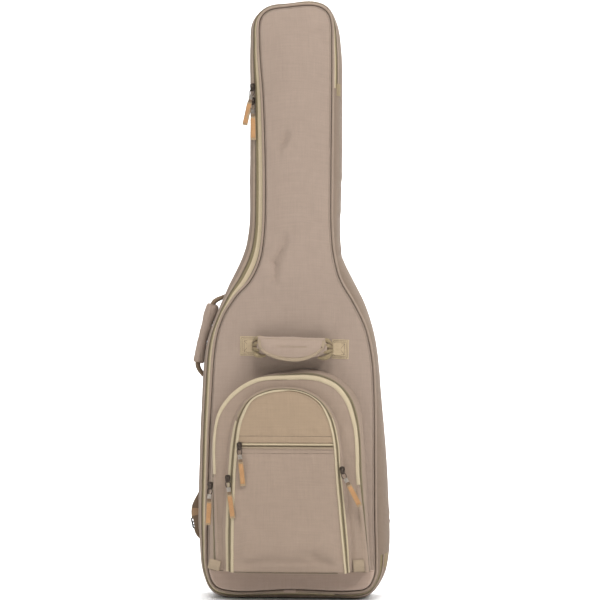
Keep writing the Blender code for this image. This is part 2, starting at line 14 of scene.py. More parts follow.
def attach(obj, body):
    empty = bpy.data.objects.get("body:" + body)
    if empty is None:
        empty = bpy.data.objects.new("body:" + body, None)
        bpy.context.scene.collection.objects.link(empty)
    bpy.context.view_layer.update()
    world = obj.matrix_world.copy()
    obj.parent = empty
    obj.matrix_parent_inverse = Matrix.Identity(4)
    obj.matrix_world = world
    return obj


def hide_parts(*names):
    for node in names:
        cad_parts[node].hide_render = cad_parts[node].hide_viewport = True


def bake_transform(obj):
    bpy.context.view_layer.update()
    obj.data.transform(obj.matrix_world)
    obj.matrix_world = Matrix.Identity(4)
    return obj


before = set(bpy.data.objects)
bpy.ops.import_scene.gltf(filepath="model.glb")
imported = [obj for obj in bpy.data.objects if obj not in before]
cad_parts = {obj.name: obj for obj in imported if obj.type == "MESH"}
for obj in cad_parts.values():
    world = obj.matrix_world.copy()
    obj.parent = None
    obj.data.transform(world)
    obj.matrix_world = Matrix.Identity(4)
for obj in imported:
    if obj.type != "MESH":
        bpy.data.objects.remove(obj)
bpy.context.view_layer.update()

# ---- the design's own dimensions, as in the CAD part -----------------------------------
FRONT_SEAM_Y = -0.047
WIDE_Y = -0.010
OUTLINE = [
    (0.1710, 0.090, 0.1965, 0.095), (0.1690, 0.050, 0.1870, 0.048),
    (0.1530, 0.026, 0.1630, 0.012), (0.1200, 0.0205, 0.1330, 0.0),
    (0.0000, 0.022, 0.0000, 0.0), (-0.1150, 0.0175, -0.1300, 0.0),
    (-0.1500, 0.027, -0.1620, 0.012), (-0.1650, 0.058, -0.1800, 0.050),
    (-0.1670, 0.120, -0.1880, 0.130), (-0.1645, 0.260, -0.1880, 0.250),
    (-0.1590, 0.400, -0.1820, 0.405), (-0.1500, 0.518, -0.1720, 0.518),
    (-0.1360, 0.567, -0.1555, 0.567), (-0.1100, 0.609, -0.1360, 0.614),
    (-0.0790, 0.644, -0.1150, 0.658), (-0.0600, 0.686, -0.0960, 0.700),
    (-0.0525, 0.735, -0.0865, 0.740), (-0.0500, 0.820, -0.0840, 0.820),
    (-0.0540, 1.000, -0.0830, 1.000), (-0.0620, 1.120, -0.0830, 1.120),
    (-0.0600, 1.168, -0.0770, 1.172), (-0.0440, 1.186, -0.0500, 1.1985),
    (0.0000, 1.193, 0.0000, 1.206), (0.0450, 1.1955, 0.0440, 1.2095),
    (0.0690, 1.187, 0.0730, 1.199), (0.0810, 1.167, 0.0900, 1.170),
    (0.0835, 1.110, 0.0990, 1.115), (0.0835, 1.030, 0.1010, 1.030),
    (0.0820, 0.860, 0.1000, 0.860), (0.0825, 0.740, 0.0970, 0.740),
    (0.0875, 0.690, 0.1010, 0.693), (0.1000, 0.644, 0.1190, 0.652),
    (0.1270, 0.597, 0.1440, 0.603), (0.1500, 0.549, 0.1620, 0.553),
    (0.1630, 0.492, 0.1730, 0.497), (0.1680, 0.420, 0.1800, 0.420),
    (0.1690, 0.300, 0.1900, 0.300), (0.1695, 0.160, 0.1970, 0.165),
]
HEAD_ZIP_END = 27
POCKET_BASE_Z = 0.0650
LARGE_POCKET = [
    (-0.1625, POCKET_BASE_Z, -0.1440, POCKET_BASE_Z), (-0.1630, 0.150, -0.1470, 0.150),
    (-0.1600, 0.265, -0.1500, 0.255), (-0.1535, 0.340, -0.1500, 0.330),
    (-0.1360, 0.386, -0.1400, 0.380), (-0.1030, 0.424, -0.1110, 0.419),
    (-0.0550, 0.450, -0.0640, 0.447), (0.0000, 0.463, 0.0000, 0.453),
    (0.0520, 0.465, 0.0540, 0.452), (0.0950, 0.449, 0.0940, 0.436),
    (0.1270, 0.421, 0.1180, 0.407), (0.1430, 0.385, 0.1300, 0.372),
    (0.1490, 0.335, 0.1370, 0.330), (0.1540, 0.255, 0.1400, 0.250),
    (0.1580, 0.140, 0.1520, 0.140), (0.1620, POCKET_BASE_Z, 0.1590, POCKET_BASE_Z),
]
SMALL_POCKET = [
    (-0.1300, POCKET_BASE_Z, -0.1120, POCKET_BASE_Z), (-0.1320, 0.150, -0.1115, 0.150),
    (-0.1270, 0.240, -0.1090, 0.235), (-0.1210, 0.320, -0.1025, 0.318),
    (-0.1100, 0.369, -0.0945, 0.366), (-0.0860, 0.406, -0.0730, 0.405),
    (-0.0480, 0.427, -0.0420, 0.421), (-0.0100, 0.432, -0.0100, 0.426),
    (0.0280, 0.428, 0.0270, 0.422), (0.0680, 0.407, 0.0600, 0.404),
    (0.0930, 0.373, 0.0815, 0.371), (0.1050, 0.325, 0.0930, 0.321),
    (0.1090, 0.275, 0.0965, 0.275), (0.1200, 0.190, 0.1035, 0.190),
    (0.1260, 0.120, 0.1095, 0.125), (0.1270, POCKET_BASE_Z, 0.1150, POCKET_BASE_Z),
]
SHARP_EDGE = math.radians(48.0)
LARGE_EDGE_Y = -0.0886              # the back of each pocket's face, at its edge
SMALL_EDGE_Y = -0.1120


# ---- camera ------------------------------------------------------------------------------
def add_camera():
    """A long lens 3.6 m away, four degrees to the right of the front, at half height."""
    turn = math.radians(4.0)
    forward = Vector((-math.sin(turn), math.cos(turn), 0.0))
    right = Vector((math.cos(turn), math.sin(turn), 0.0))
    data = bpy.data.cameras.new("camera")
    data.sensor_width = 36.0
    data.lens = 105.9
    data.clip_end = 60.0
    camera = bpy.data.objects.new("camera", data)
    camera.location = forward * -3.6 + right * 0.0163 + Vector((0.0, 0.0, 0.604))
    camera.rotation_euler = (math.pi / 2, 0.0, turn)
    bpy.context.scene.collection.objects.link(camera)
    bpy.context.scene.camera = camera


add_camera()


# ---- materials ---------------------------------------------------------------------------
def linear(colour):
    """Display colour, 0 to 255, to the linear values that shaders take."""
    shares = [c / 255.0 for c in colour]
    return [s / 12.92 if s <= 0.04045 else ((s + 0.055) / 1.055) ** 2.4 for s in shares]


def node(tree, kind, inputs=None, **settings):
    """A shader node with its settings, constant inputs and links in one go."""
    made = tree.nodes.new(kind)
    for key, value in settings.items():
        setattr(made, key, value)
    for socket, value in (inputs or {}).items():
        if isinstance(value, bpy.types.NodeSocket):
            tree.links.new(value, made.inputs[socket])
        else:
            made.inputs[socket].default_value = value
    return made


def calc(tree, operation, a, b=0.0, c=0.0):
    """The output of a math node."""
    return node(tree, "ShaderNodeMath", {0: a, 1: b, 2: c}, operation=operation).outputs[0]


def new_material(name, roughness, metallic=0.0):
    """An empty Principled material: the material, its node tree and its shader."""
    made = bpy.data.materials.new(name)
    made.use_nodes = True
    shader = made.node_tree.nodes["Principled BSDF"]
    shader.inputs["Roughness"].default_value = roughness
    shader.inputs["Metallic"].default_value = metallic
    return made, made.node_tree, shader


def woven_axes(tree, by_uv):
    """Two coordinates that follow the threads, in metres, and the place as a vector."""
    coords = node(tree, "ShaderNodeTexCoord")
    place = coords.outputs["UV" if by_uv else "Object"]
    parts = node(tree, "ShaderNodeSeparateXYZ", {0: place})
    if by_uv:
        return parts.outputs[0], parts.outputs[1], coords.outputs["Object"]
    across = calc(tree, "MULTIPLY_ADD", parts.outputs[1], 0.62, parts.outputs[0])
    along = calc(tree, "MULTIPLY_ADD", parts.outputs[1], 0.78, parts.outputs[2])
    return across, along, place


def fleck(tree, across, along, fine, coarse, detail=2.0):
    """Noise drawn out along one thread direction: fine and coarse are lengths in metres."""
    spot = node(tree, "ShaderNodeCombineXYZ", {0: calc(tree, "MULTIPLY", across, 1.0 / fine),
                                               1: calc(tree, "MULTIPLY", along, 1.0 / coarse)})
    drawn = node(tree, "ShaderNodeTexNoise", {"Vector": spot.outputs[0], "Scale": 1.0,
                                              "Detail": detail, "Roughness": 0.55})
    return drawn.outputs["Fac"]


def woven(name, colour, pitch=0.0011, contrast=0.10, bump=0.35, roughness=0.88, sheen=0.05,
          by_uv=False, tone=0.10, ribs=0.0):
    """Cloth with threads both ways, slubs, tonal drift and a matt sheen."""
    made, tree, shader = new_material(name, roughness)
    across, along, place = woven_axes(tree, by_uv)
    turns = math.tau / pitch
    warp = calc(tree, "SINE", calc(tree, "MULTIPLY", across, turns))
    weft = calc(tree, "SINE", calc(tree, "MULTIPLY", along, turns * 0.83))
    crossing = calc(tree, "MULTIPLY", warp, weft)
    slub_a = fleck(tree, across, along, 0.0021, 0.055)
    slub_b = fleck(tree, along, across, 0.0026, 0.070)
    drift = node(tree, "ShaderNodeTexNoise", {"Vector": place, "Scale": 7.0, "Detail": 3.0})
    mottle = node(tree, "ShaderNodeTexNoise", {"Vector": place, "Scale": 70.0, "Detail": 4.0})
    slubs = calc(tree, "ADD", slub_a, slub_b)
    level = calc(tree, "MULTIPLY_ADD", slubs, contrast, 1.0 - contrast)
    level = calc(tree, "MULTIPLY_ADD", crossing, contrast * 0.35, level)
    level = calc(tree, "MULTIPLY_ADD", calc(tree, "SUBTRACT", drift.outputs["Fac"], 0.5), tone, level)
    level = calc(tree, "MULTIPLY_ADD", calc(tree, "SUBTRACT", mottle.outputs["Fac"], 0.5), 0.12, level)
    height = calc(tree, "ADD", crossing, calc(tree, "MULTIPLY", slubs, 1.2))
    if ribs:
        rib = calc(tree, "SINE", calc(tree, "MULTIPLY", along, math.tau / ribs))
        level = calc(tree, "MULTIPLY_ADD", rib, 0.05, level)
        height = calc(tree, "MULTIPLY_ADD", rib, 1.5, height)
    tint = node(tree, "ShaderNodeMix", {0: 1.0, 6: (*linear(colour), 1.0)}, data_type="RGBA",
                blend_type="MULTIPLY")
    grey = node(tree, "ShaderNodeCombineColor", {0: level, 1: level, 2: level})
    tree.links.new(grey.outputs[0], tint.inputs[7])
    tree.links.new(tint.outputs[2], shader.inputs["Base Color"])
    relief = node(tree, "ShaderNodeBump", {"Height": height, "Strength": bump, "Distance": 0.00025})
    tree.links.new(relief.outputs[0], shader.inputs["Normal"])
    uneven = calc(tree, "MULTIPLY_ADD", mottle.outputs["Fac"], 0.12, roughness - 0.06)
    tree.links.new(uneven, shader.inputs["Roughness"])
    shader.inputs["Sheen Weight"].default_value = sheen
    shader.inputs["Sheen Roughness"].default_value = 0.5
    shader.inputs["Specular IOR Level"].default_value = 0.22
    return made


def mottled(name, colours, roughness, scale, bump, distance, metallic=0.0, detail=6.0):
    """A noisy surface for leather, foam, metal and plastic; colours are its dark and light."""
    made, tree, shader = new_material(name, roughness, metallic)
    coords = node(tree, "ShaderNodeTexCoord")
    grain = node(tree, "ShaderNodeTexNoise", {"Vector": coords.outputs["Object"], "Scale": scale,
                                              "Detail": detail, "Roughness": 0.6})
    patches = node(tree, "ShaderNodeTexNoise", {"Vector": coords.outputs["Object"],
                                                "Scale": scale * 0.09, "Detail": 3.0})
    share = calc(tree, "MULTIPLY_ADD", grain.outputs["Fac"], 0.6,
                 calc(tree, "MULTIPLY", patches.outputs["Fac"], 0.4))
    ramp = node(tree, "ShaderNodeValToRGB", {0: share})
    ramp.color_ramp.elements[0].position = 0.32
    ramp.color_ramp.elements[1].position = 0.68
    ramp.color_ramp.elements[0].color = (*linear(colours[0]), 1.0)
    ramp.color_ramp.elements[1].color = (*linear(colours[1]), 1.0)
    tree.links.new(ramp.outputs[0], shader.inputs["Base Color"])
    relief = node(tree, "ShaderNodeBump", {"Height": grain.outputs["Fac"], "Strength": bump,
                                           "Distance": distance})
    tree.links.new(relief.outputs[0], shader.inputs["Normal"])
    uneven = calc(tree, "MULTIPLY_ADD", patches.outputs["Fac"], 0.22, roughness - 0.11)
    tree.links.new(uneven, shader.inputs["Roughness"])
    return made


MATERIALS = {
    "shell": woven("shell_fabric", (149, 132, 119), contrast=0.16, tone=0.16),
    "pocket": woven("pocket_fabric", (148, 130, 115), contrast=0.16, tone=0.16),
    # side fabric: the shell fabric darkened as painted shade, for the side walls that turn away from the
    # light
    "side": woven("side_fabric_painted_shade", (128, 112, 98), contrast=0.16, tone=0.18),
    # base fabric: the shell fabric lightened as painted light, to offset the shade under the pockets on the
    # base band; the yoke and the welt joint share it
    "base": woven("base_fabric_painted_light", (170, 149, 135), contrast=0.16, tone=0.14),
    "patch": woven("patch_fabric", (152, 132, 110), contrast=0.16, tone=0.14),
    "grip": woven("grip_fabric", (154, 136, 122), contrast=0.14),
    "gather": woven("gather", (142, 126, 98), 0.0016, 0.16, 0.8, by_uv=True, ribs=0.0030),
    "webbing": woven("webbing", (178, 159, 131), 0.0016, 0.16, 0.7, by_uv=True, ribs=0.0030),
    "strap": woven("strap_webbing", (112, 94, 76), 0.0016, 0.14, 0.6, by_uv=True, ribs=0.0030),
    "strap_inner": woven("strap_inner", (150, 122, 94), 0.0016, 0.14, 0.6, by_uv=True, ribs=0.0030),
    "tape": woven("zip_tape", (186, 170, 142), 0.0010, 0.12, 0.5, by_uv=True, ribs=0.0022),
    # darker copy of the zip tape: painted shade for tape that lies in shade beside the coils
    "tape_painted_shade": woven("zip_tape_painted_shade", (128, 116, 88), 0.0010, 0.16, 0.6, by_uv=True, ribs=0.0018),
    "trim": woven("trim", (154, 137, 116), 0.0012, 0.12, 0.5, by_uv=True),
    "binding": woven("binding", (184, 169, 142), 0.0012, 0.12, 0.5, by_uv=True),
    "piping": woven("piping", (146, 129, 115), 0.0012, 0.12, 0.5, by_uv=True),
    "coil": mottled("zip_coil", ((80, 68, 50), (112, 98, 76)), 0.45, 900.0, 0.2, 0.0001),
    "thread": mottled("thread", ((104, 90, 74), (128, 113, 94)), 0.7, 1500.0, 0.2, 0.0001),
    "thread_light": mottled("thread_light", ((150, 136, 110), (172, 158, 132)), 0.7, 1500.0, 0.2,
                            0.0001),
    "lining": woven("lining", (44, 41, 39), 0.0016, 0.2, 0.5, 0.95, 0.3),
    "foam": mottled("foam", ((38, 36, 36), (58, 55, 54)), 0.95, 420.0, 0.5, 0.0006),
    "leather": mottled("leather", ((150, 108, 68), (176, 134, 90)), 0.55, 600.0, 0.35, 0.0003),
    "leather_edge": mottled("leather_edge", ((134, 112, 84), (158, 136, 106)), 0.75, 800.0, 0.3, 0.0003),
    "gunmetal": mottled("gunmetal", ((60, 52, 46), (96, 86, 78)), 0.34, 300.0, 0.05, 0.0001, 1.0),
    "silver": mottled("silver", ((146, 137, 127), (184, 174, 163)), 0.38, 260.0, 0.05, 0.0001, 1.0),
    "plastic": mottled("plastic", ((46, 42, 39), (68, 63, 58)), 0.42, 900.0, 0.15, 0.0001),
}


# ---- curves and outlines -------------------------------------------------------------------
def smooth_path(rows, spacing, closed=False):
    """Samples of a smooth curve through the rows, and each row's place among them."""
    knots = [Vector(row) for row in rows]
    last = len(knots)
    samples = []
    marks = []
    for i in range(last if closed else last - 1):
        p1 = knots[i]
        p2 = knots[(i + 1) % last]
        p0 = knots[i - 1] if closed or i else p1 + (p1 - p2)
        p3 = knots[(i + 2) % last] if closed or i + 2 < last else p2 + (p2 - p1)
        before, along, after = (math.sqrt((b - a).length) for a, b in ((p0, p1), (p1, p2), (p2, p3)))
        leave = (p2 - p1) + ((p1 - p0) / before - (p2 - p0) / (before + along)) * along
        arrive = (p2 - p1) + ((p3 - p2) / after - (p3 - p1) / (along + after)) * along
        steps = max(1, round((p2 - p1).length / spacing))
        marks.append(len(samples))
        for step in range(steps):
            t = step / steps
            cubic = (p1 - p2) * 2 + leave + arrive
            square = (p2 - p1) * 3 - leave * 2 - arrive
            samples.append(((cubic * t + square) * t + leave) * t + p1)
    if not closed:
        marks.append(len(samples))
        samples.append(knots[-1])
    return samples, marks


def outward(points, closed=False):
    """Unit normals of a clockwise run of x, z points, pointing away from its inside."""
    normals = []
    last = len(points) - 1
    for i in range(len(points)):
        ahead = points[(i + 1) % len(points)] if closed or i < last else points[last]
        behind = points[i - 1] if closed or i else points[0]
        along = ahead - behind
        normals.append(Vector((-along.y, along.x)).normalized())
    return normals


def grow(points, normals, distance):
    """The outline moved outwards by a distance, and never below the base."""
    moved = [p + n * distance for p, n in zip(points, normals)]
    return [Vector((p.x, max(p.y, 0.0))) for p in moved]


def clip(points, origin, normal):
    """The part of an x, z outline behind the line through origin with this normal."""
    kept = []
    for i, here in enumerate(points):
        before = points[i - 1]
        side_here = (here - origin).dot(normal)
        side_before = (before - origin).dot(normal)
        if side_here * side_before < 0:
            kept.append(before.lerp(here, side_before / (side_before - side_here)))
        if side_here <= 0:
            kept.append(here)
    return kept


def resample(points, spacing, closed=False):
    """The same run of points, evenly spaced by length."""
    run = [Vector(p) for p in points]
    if closed:
        run.append(run[0])
    lengths = [0.0]
    for a, b in zip(run, run[1:]):
        lengths.append(lengths[-1] + (b - a).length)
    count = max(2, round(lengths[-1] / spacing))
    made = []
    at = 0
    for k in range(count if closed else count + 1):
        goal = lengths[-1] * k / count
        while at < len(run) - 2 and lengths[at + 1] < goal:
            at += 1
        share = (goal - lengths[at]) / max(lengths[at + 1] - lengths[at], 1e-9)
        made.append(run[at].lerp(run[at + 1], min(max(share, 0.0), 1.0)))
    return made


def ease(t):
    """Smooth step of a number or an array, held between 0 and 1."""
    t = np.clip(t, 0.0, 1.0)
    return t * t * (3.0 - 2.0 * t)


def rounded(t):
    """Quarter-circle rise of a number or an array, held between 0 and 1."""
    t = np.clip(t, 0.0, 1.0)
    return np.sqrt(1.0 - (1.0 - t) ** 2)


def wander(points, scale, seed=0.0):
    """Smooth noise at each of an array of points, about -1 to 1."""
    shift = Vector((seed, seed * 0.7, seed * 1.3))
    return np.array([noise.noise(Vector(p) * scale + shift) for p in points])


class Ring:
    """Stations round the bag: the front seam and the widest outline at each."""

    def __init__(self, spacing):
        rows, marks = smooth_path(OUTLINE, spacing, closed=True)
        self.seam = [Vector((r[0], r[1])) for r in rows]
        self.wide = [Vector((r[2], max(r[3], 0.0))) for r in rows]
        self.seam_out = outward(self.seam, closed=True)
        self.wide_out = outward(self.wide, closed=True)
        self.all = list(range(len(rows)))
        self.zip = list(range(0, marks[HEAD_ZIP_END] + 1))
        self.hinge = list(range(marks[HEAD_ZIP_END], len(rows))) + [0]

    def edge(self, i, angle, lift=0.0):
        """A point on the rounded front edge, raised off it by lift, and the normal there."""
        turn = math.radians(angle)
        reach = self.wide[i] - self.seam[i]
        depth = WIDE_Y - FRONT_SEAM_Y
        place = self.seam[i] + reach * math.sin(turn)
        y = FRONT_SEAM_Y + depth * (1.0 - math.cos(turn))
        out = reach.normalized() * (math.sin(turn) / reach.length)
        normal = Vector((out.x, -math.cos(turn) / depth, out.y)).normalized()
        return Vector((place.x, y, place.y)) + normal * lift, normal


ring = Ring(0.012)
fine_ring = Ring(0.0021)


def make(name, verts, faces, look, body=None, replaces=(), fill=None, sheet=None, uvs=None,
         sharp=SHARP_EDGE):
    """A piece from its vertices and faces, with its look, its body and what it stands for.

    body "cover" bakes the piece's transform and leaves it without a parent; sheet, (width, length, how it is
    held), is not used.
    """
    mesh = bpy.data.meshes.new(name)
    mesh.from_pydata([tuple(v) for v in verts], [], [tuple(f) for f in faces])
    if uvs is not None:
        layer = mesh.uv_layers.new(name="threads")
        corner_uvs = np.array([uvs[k] for k in range(len(uvs))], float).reshape(-1)
        layer.data.foreach_set("uv", corner_uvs)
    mesh.polygons.foreach_set("use_smooth", [True] * len(mesh.polygons))
    mesh.update()
    mesh.set_sharp_from_angle(angle=sharp)
    obj = bpy.data.objects.new(name, mesh)
    bpy.context.scene.collection.objects.link(obj)
    return dress(obj, look, body, replaces)


def dress(obj, look, body=None, replaces=()):
    """Give a piece its look and body, and hide the parts it replaces."""
    obj.data.materials.clear()
    obj.data.materials.append(MATERIALS[look])
    if body == "cover":
        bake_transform(obj)
    elif body:
        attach(obj, body)
    if replaces:
        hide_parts(*replaces)
    return obj


def loft(name, sections, look, body=None, closed=False, **more):
    """A skin through matching closed sections, capped at its ends unless it closes."""
    size = len(sections[0])
    count = len(sections)
    verts = [p for section in sections for p in section]
    along = [0.0]
    for a, b in zip(sections, sections[1:] + sections[:1]):
        along.append(along[-1] + (Vector(b[0]) - Vector(a[0])).length)
    faces = []
    uvs = []
    for i in range(count if closed else count - 1):
        j = (i + 1) % count
        section = sections[i]
        around = [0.0]
        for k in range(size):
            around.append(around[-1] + (Vector(section[(k + 1) % size]) - Vector(section[k])).length)
        for k in range(size):
            n = (k + 1) % size
            faces.append((i * size + k, i * size + n, j * size + n, j * size + k))
            uvs += [(along[i], around[k]), (along[i], around[k + 1]),
                    (along[i + 1], around[k + 1]), (along[i + 1], around[k])]
    if not closed:
        for at, order in ((0, range(size - 1, -1, -1)), (count - 1, range(size))):
            faces.append(tuple(at * size + k for k in order))
            uvs += [(sections[at][k][0], sections[at][k][2]) for k in order]
    return make(name, verts, faces, look, body, uvs=uvs, **more)


def tube(name, points, radius, look, body=None, closed=False, sides=10, squeeze=1.0, **more):
    """A cord of round section along the points."""
    sections = []
    count = len(points)
    for i, here in enumerate(points):
        ahead = points[(i + 1) % count] if closed or i < count - 1 else here
        behind = points[i - 1] if closed or i else here
        along = (ahead - behind).normalized()
        side = along.cross(Vector((0.0, 1.0, 0.0)))
        side = (side if side.length > 0.2 else along.cross(Vector((0.0, 0.0, 1.0)))).normalized()
        up = side.cross(along)
        width = radius(i / max(count - 1, 1)) if callable(radius) else radius
        sections.append([here + side * (width * math.cos(math.tau * k / sides))
                         + up * (width * squeeze * math.sin(math.tau * k / sides))
                         for k in range(sides)])
    return loft(name, sections, look, body, closed, **more)


def ribbon(name, route, width, thickness, look, body=None, spacing=0.006, across=(0.0, 0.0, 1.0),
           smooth=True, cup=0.0, **more):
    """Flat webbing along a route with rounded edges; width may vary along it."""
    points = smooth_path(route, spacing)[0] if smooth else [Vector(p) for p in route]
    points = resample(points, spacing)
    across = Vector(across).normalized()
    last = len(points) - 1
    sections = []
    for i, here in enumerate(points):
        along = (points[min(i + 1, last)] - points[max(i - 1, 0)]).normalized()
        side = (across - along * across.dot(along)).normalized()
        up = along.cross(side)
        half = (width(i / last) if callable(width) else width) / 2
        t = thickness / 2
        section = []
        for s, h in ((-1.0, 0.0), (-0.93, -1.0), (-0.5, -1.0), (0.0, -1.0), (0.5, -1.0), (0.93, -1.0),
                     (1.0, 0.0), (0.93, 1.0), (0.5, 1.0), (0.0, 1.0), (-0.5, 1.0), (-0.93, 1.0)):
            section.append(here + side * (half * s) + up * (t * h + cup * s * s))
        sections.append(section)
    return loft(name, sections, look, body, **more)


def edge_distance(points, outline):
    """The distance of each of an array of points from a closed outline, and which are inside."""
    a = np.array([tuple(p) for p in outline], float)
    b = np.roll(a, -1, axis=0)
    best = np.full(len(points), 1e9)
    inside = np.zeros(len(points), bool)
    x, z = points[:, 0], points[:, 1]
    for (ax, az), (bx, bz) in zip(a, b):
        dx, dz = bx - ax, bz - az
        t = np.clip(((x - ax) * dx + (z - az) * dz) / max(dx * dx + dz * dz, 1e-12), 0.0, 1.0)
        best = np.minimum(best, np.hypot(x - ax - t * dx, z - az - t * dz))
        if az != bz:
            crosses = (az > z) != (bz > z)
            inside ^= crosses & (x < (bx - ax) * (z - az) / (bz - az) + ax)
    return best, inside


def panel_grid(outline, spacing, rims=(0.0010, 0.0026, 0.0050, 0.0085)):
    """Triangles that fill an outline, with close rings of points beside its edge."""
    outline = resample(outline, spacing * 1.15, closed=True)
    normals = outward(outline, closed=True)
    points = [tuple(p) for p in outline]
    rim_points = []
    for rim in rims:
        rim_points += [tuple(p - n * rim) for p, n in zip(outline, normals)]
    low = np.min(points, axis=0)
    high = np.max(points, axis=0)
    rows = int((high[1] - low[1]) / (spacing * 0.866)) + 1
    grid = []
    for r in range(rows):
        shift = spacing / 2 if r % 2 else 0.0
        for c in range(int((high[0] - low[0]) / spacing) + 2):
            grid.append((low[0] + c * spacing + shift, low[1] + r * spacing * 0.866))
    inner = np.array(rim_points + grid)
    distance, inside = edge_distance(inner, outline)
    need = np.array([0.0007] * len(rim_points) + [(rims[-1] if rims else 0.0) + spacing * 0.55] * len(grid))
    inner = inner[inside & (distance > need)]
    count = len(points)
    edges = [(i, (i + 1) % count) for i in range(count)]
    made = delaunay_2d_cdt([Vector(p) for p in points] + [Vector(p) for p in inner], edges, [], 1, 1e-6)
    places = np.array([tuple(v) for v in made[0]])
    faces = [tuple(f) for f in made[2]]
    distance, _ = edge_distance(places, outline)
    distance[distance < 1e-5] = 0.0
    return places, faces, distance


def pillow(name, outline, front, back, look, body=None, spacing=0.007, rims=(0.0010, 0.0026, 0.0050, 0.0085),
           **more):
    """A closed panel: front and back give y from arrays of x, z and the distance to the edge."""
    places, faces, distance = panel_grid(outline, spacing, rims)
    x, z = places[:, 0], places[:, 1]
    y_front = front(x, z, distance)
    y_back = back(x, z, distance)
    rim = distance <= 0.0
    number = len(places)
    other = np.arange(number)
    other[~rim] = number + np.arange(int((~rim).sum()))
    verts = [(a, b, c) for a, b, c in zip(x, y_front, z)]
    verts += [(a, b, c) for a, b, c in zip(x[~rim], y_back[~rim], z[~rim])]
    first = faces[0]
    a, b, c = (Vector((x[k], z[k])) for k in first)
    clockwise = (b - a).cross(c - a) < 0
    front_faces = [f if not clockwise else f[::-1] for f in faces]
    made = front_faces + [tuple(int(other[k]) for k in f[::-1]) for f in front_faces]
    return make(name, verts, made, look, body, **more)


def surface_of(*pieces):
    """A search tree over the rest shape of some pieces."""
    verts = []
    faces = []
    for piece in pieces:
        start = len(verts)
        verts += [v.co.copy() for v in piece.data.vertices]
        faces += [tuple(start + k for k in p.vertices) for p in piece.data.polygons]
    return BVHTree.FromPolygons(verts, faces)


def lay(tree, points, lift=0.0, behind=False):
    """x, z points laid on a surface seen from the front, or from behind, with normals."""
    laid = []
    way = Vector((0.0, -1.0 if behind else 1.0, 0.0))
    for p in points:
        hit, normal, _, _ = tree.ray_cast(Vector((p[0], -0.4 * way.y, p[1])), way)
        if hit is None:
            hit, normal, _, _ = tree.find_nearest(Vector((p[0], -0.1 * way.y, p[1])))
        if normal.dot(way) > 0:
            normal = -normal
        laid.append((hit + normal * lift, normal))
    return laid


def stitch_row(laid, length=0.0032, gap=0.0016, radius=0.00042):
    """Small raised stitches along a run of (place, normal): vertices and faces."""
    run = resample([Vector((*place, *normal)) for place, normal in laid], length + gap)
    verts = []
    faces = []
    for a, b in zip(run, run[1:]):
        start, stop = Vector(a[:3]), Vector(b[:3])
        up = Vector(a[3:]).normalized()
        along = (stop - start).normalized()
        side = along.cross(up).normalized() * radius
        middle = (start + stop) / 2
        reach = along * (length / 2)
        base = len(verts)
        verts += [middle - reach, middle - reach * 0.5 + side, middle + reach * 0.5 + side, middle + reach,
                  middle + reach * 0.5 - side, middle - reach * 0.5 - side,
                  middle - reach * 0.5 + up * radius, middle + reach * 0.5 + up * radius,
                  middle - up * radius]
        for tri in ((0, 1, 6), (1, 2, 7, 6), (2, 3, 7), (3, 4, 7), (4, 5, 6, 7), (5, 0, 6),
                    (1, 0, 8), (2, 1, 8), (3, 2, 8), (4, 3, 8), (5, 4, 8), (0, 5, 8)):
            faces.append(tuple(base + k for k in tri))
    return verts, faces


def stitches(name, rows, look, body, **size):
    """One piece holding several rows of stitches."""
    verts = []
    faces = []
    for laid in rows:
        more_verts, more_faces = stitch_row(laid, **size)
        faces += [tuple(len(verts) + k for k in f) for f in more_faces]
        verts += more_verts
    return make(name, verts, faces, look, body)


def puff(obj, pressure, cap, held, frames=18, stiff=12.0, gravity=0.0):
    """Inflate a closed piece with cloth; held says which vertices stay, cap limits the rest."""
    rest = np.array([v.co for v in obj.data.vertices])
    group = obj.vertex_groups.new(name="held")
    for index, share in enumerate(held(rest)):
        if share > 0.001:
            group.add([index], float(share), "REPLACE")
    cloth = obj.modifiers.new("cloth", "CLOTH")
    cloth.settings.quality = 5
    cloth.settings.mass = 0.3
    cloth.settings.tension_stiffness = stiff
    cloth.settings.compression_stiffness = stiff
    cloth.settings.shear_stiffness = stiff * 0.5
    cloth.settings.bending_stiffness = 0.6
    cloth.settings.use_pressure = True
    cloth.settings.uniform_pressure_force = pressure
    cloth.settings.vertex_group_mass = "held"
    cloth.settings.pin_stiffness = 20.0
    cloth.settings.effector_weights.gravity = gravity
    cloth.collision_settings.use_collision = False
    cloth.point_cache.frame_start = 1
    cloth.point_cache.frame_end = frames
    for frame_number in range(1, frames + 1):
        bpy.context.scene.frame_set(frame_number)
    graph = bpy.context.evaluated_depsgraph_get()
    shaped = obj.evaluated_get(graph)
    moved = np.array([v.co for v in shaped.data.vertices])
    obj.modifiers.remove(cloth)
    bpy.context.scene.frame_set(1)
    shift = moved - rest
    size = np.linalg.norm(shift, axis=1, keepdims=True)
    shift *= np.minimum(1.0, cap / np.maximum(size, 1e-9))
    obj.data.vertices.foreach_set("co", (rest + shift).astype(np.float32).reshape(-1))
    obj.data.update()
    return obj


# ---- the shell: gusset, piping, back -------------------------------------------------------
NOTCHES = ((0.842, 0.0024), (0.771, 0.0016), (0.694, 0.0026))      # height, depth of pinched folds
REAR_STEPS = ((-0.002, 0.0), (0.008, 0.0), (0.018, 0.0), (0.027, 0.0), (0.033, 0.0010),
              (0.0370, 0.0038), (0.0395, 0.0080))
ZIP_SIDE_ANGLES = (48.0, 52.0, 58.0, 66.0, 74.0, 82.0, 90.0)
HINGE_SIDE_ANGLES = (2.0, 7.0, 13.0, 20.0, 28.0, 36.0, 44.0, 52.0, 60.0, 68.0, 76.0, 83.0, 90.0)


